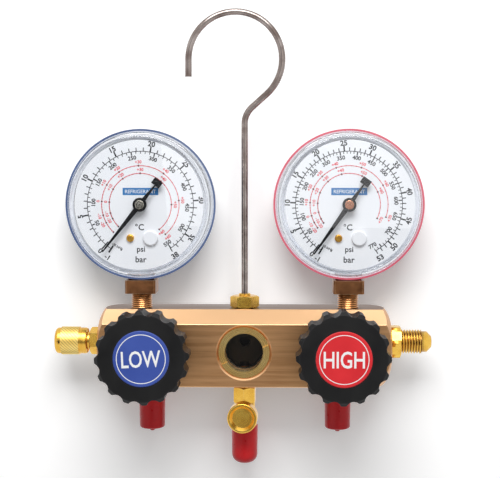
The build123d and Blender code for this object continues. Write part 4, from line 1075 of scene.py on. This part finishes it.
# %% wind a thread
def add_thread(form, centre, axis, crest, depth, pitch, first, last):
    """Adds a V thread of that outer radius between two places on the axis."""
    thread = bmesh.new()
    root = crest - depth
    profile = [(0.0, root), (0.12, root), (0.44, crest), (0.56, crest), (0.88, root), (1.0, root)]
    points = [thread.verts.new((reach, 0, share * pitch)) for share, reach in profile]
    edges = [thread.edges.new(pair) for pair in zip(points, points[1:])]
    steps = 36
    turns = int((last - first) / pitch) + 3
    bmesh.ops.spin(thread, geom=points + edges, cent=(0, 0, 0), axis=(0, 0, 1), dvec=(0, 0, pitch / steps),
                   angle=2 * pi * turns, steps=steps * turns, use_merge=False)
    bmesh.ops.remove_doubles(thread, verts=thread.verts, dist=0.002 * MM)
    start = Matrix.Translation((0, 0, -1.5 * pitch))
    bmesh.ops.transform(thread, matrix=start, verts=thread.verts)
    for height, side in ((0.0, -1), (last - first, 1)):
        bmesh.ops.bisect_plane(thread, geom=thread.verts[:] + thread.edges[:] + thread.faces[:],
                               dist=0.0001 * MM, plane_co=(0, 0, height), plane_no=(0, 0, side), clear_outer=True)
    turn = Matrix.Rotation(radians(90), 4, "Y") if axis == "X" else Matrix.Identity(4)
    foot = Vector(centre)
    foot[0 if axis == "X" else 2] = first
    bmesh.ops.transform(thread, matrix=Matrix.Translation(foot) @ turn, verts=thread.verts)
    bmesh.ops.recalc_face_normals(thread, faces=thread.faces)
    for face in thread.faces:
        face.material_index = 1
    outward = 0.0
    for face in thread.faces:
        arm = face.calc_center_median() - foot
        arm[0 if axis == "X" else 2] = 0.0
        outward += face.normal.dot(arm)
    if outward < 0:
        bmesh.ops.reverse_faces(thread, faces=thread.faces)
    mesh = bpy.data.meshes.new("thread")
    thread.to_mesh(mesh)
    thread.free()
    form.from_mesh(mesh)
    bpy.data.meshes.remove(mesh)


# %% threads of the open port and of the gauge sockets
port_axis = place(0, 13.35, 1.8)
port = without_cylinder("right_end_port", port_axis, "X", 5.556 * MM, 72.2 * MM, 81.5 * MM)
add_thread(port, port_axis, "X", 5.556 * MM, 0.70 * MM, 1.27 * MM, 72.2 * MM, 81.5 * MM)
port_cuts = turned_brass("port_thread_brass", port_axis, "X", shaded_grooves=(4.80, 5.35))
stand_in(port, "right_end_port", "block", "_threaded", port_cuts)
for side, across in (("low", -47.8), ("high", 47.8)):
    neck_axis = place(across, 13.35, 0)
    socket = without_cylinder(side + "_gauge_socket", neck_axis, "Z", 4.85 * MM, 10.5 * MM, 24.4 * MM)
    add_thread(socket, neck_axis, "Z", 4.85 * MM, 0.5 * MM, 0.941 * MM, 10.5 * MM, 24.4 * MM)
    neck_cuts = turned_brass(side + "_neck_thread_brass", neck_axis, "Z", (0.78, 0.36, 0.15), (0.42, 0.16, 0.055),
                             shaded_grooves=(4.30, 4.72))
    stand_in(socket, side + "_gauge_socket", "block", "_threaded", neck_cuts)

# %% [markdown]
# The cap of the left port is knurled for grip: two sets of slanted grooves cross and leave rows of
# small pyramids. A tube whose points go in and out by turns gives the same pattern with few faces.

# %% knurled cap
def add_knurl(form, centre, crest, depth, first, last, around, rows):
    band = bmesh.new()
    points = [band.verts.new((crest, 0, row / rows * (last - first))) for row in range(rows + 1)]
    edges = [band.edges.new(pair) for pair in zip(points, points[1:])]
    bmesh.ops.spin(band, geom=points + edges, cent=(0, 0, 0), axis=(0, 0, 1), angle=2 * pi,
                   steps=2 * around, use_merge=True)
    pressed = 0
    for vert in band.verts:
        step = round(atan2(vert.co.y, vert.co.x) / pi * around)
        row = round(vert.co.z / (last - first) * rows)
        if (step + row) % 2:
            vert.co.x *= 1 - depth / crest
            vert.co.y *= 1 - depth / crest
            pressed += 1
    turn = Matrix.Rotation(radians(90), 4, "Y")
    foot = Vector((first, centre[1], centre[2]))
    bmesh.ops.transform(band, matrix=Matrix.Translation(foot) @ turn, verts=band.verts)
    bmesh.ops.recalc_face_normals(band, faces=band.faces)
    for face in band.faces:
        face.material_index = 1
    mesh = bpy.data.meshes.new("knurl")
    band.to_mesh(mesh)
    band.free()
    form.from_mesh(mesh)
    bpy.data.meshes.remove(mesh)
    print("knurl points pressed in:", pressed)


cap = without_cylinder("left_port_cap", port_axis, "X", 6.5 * MM, -85.1 * MM, -76.8 * MM)
add_knurl(cap, port_axis, 6.5 * MM, 0.42 * MM, -85.1 * MM, -76.8 * MM, 24, 11)
knurl_cuts = turned_brass("knurl_brass", port_axis, "X", (1.0, 0.80, 0.30), (0.92, 0.62, 0.14), 0.34,
                          shaded_grooves=(5.98, 6.26))
knurled = stand_in(cap, "left_port_cap", "left_cap", "_knurled", knurl_cuts)
knurled.data.set_sharp_from_angle(angle=radians(8))
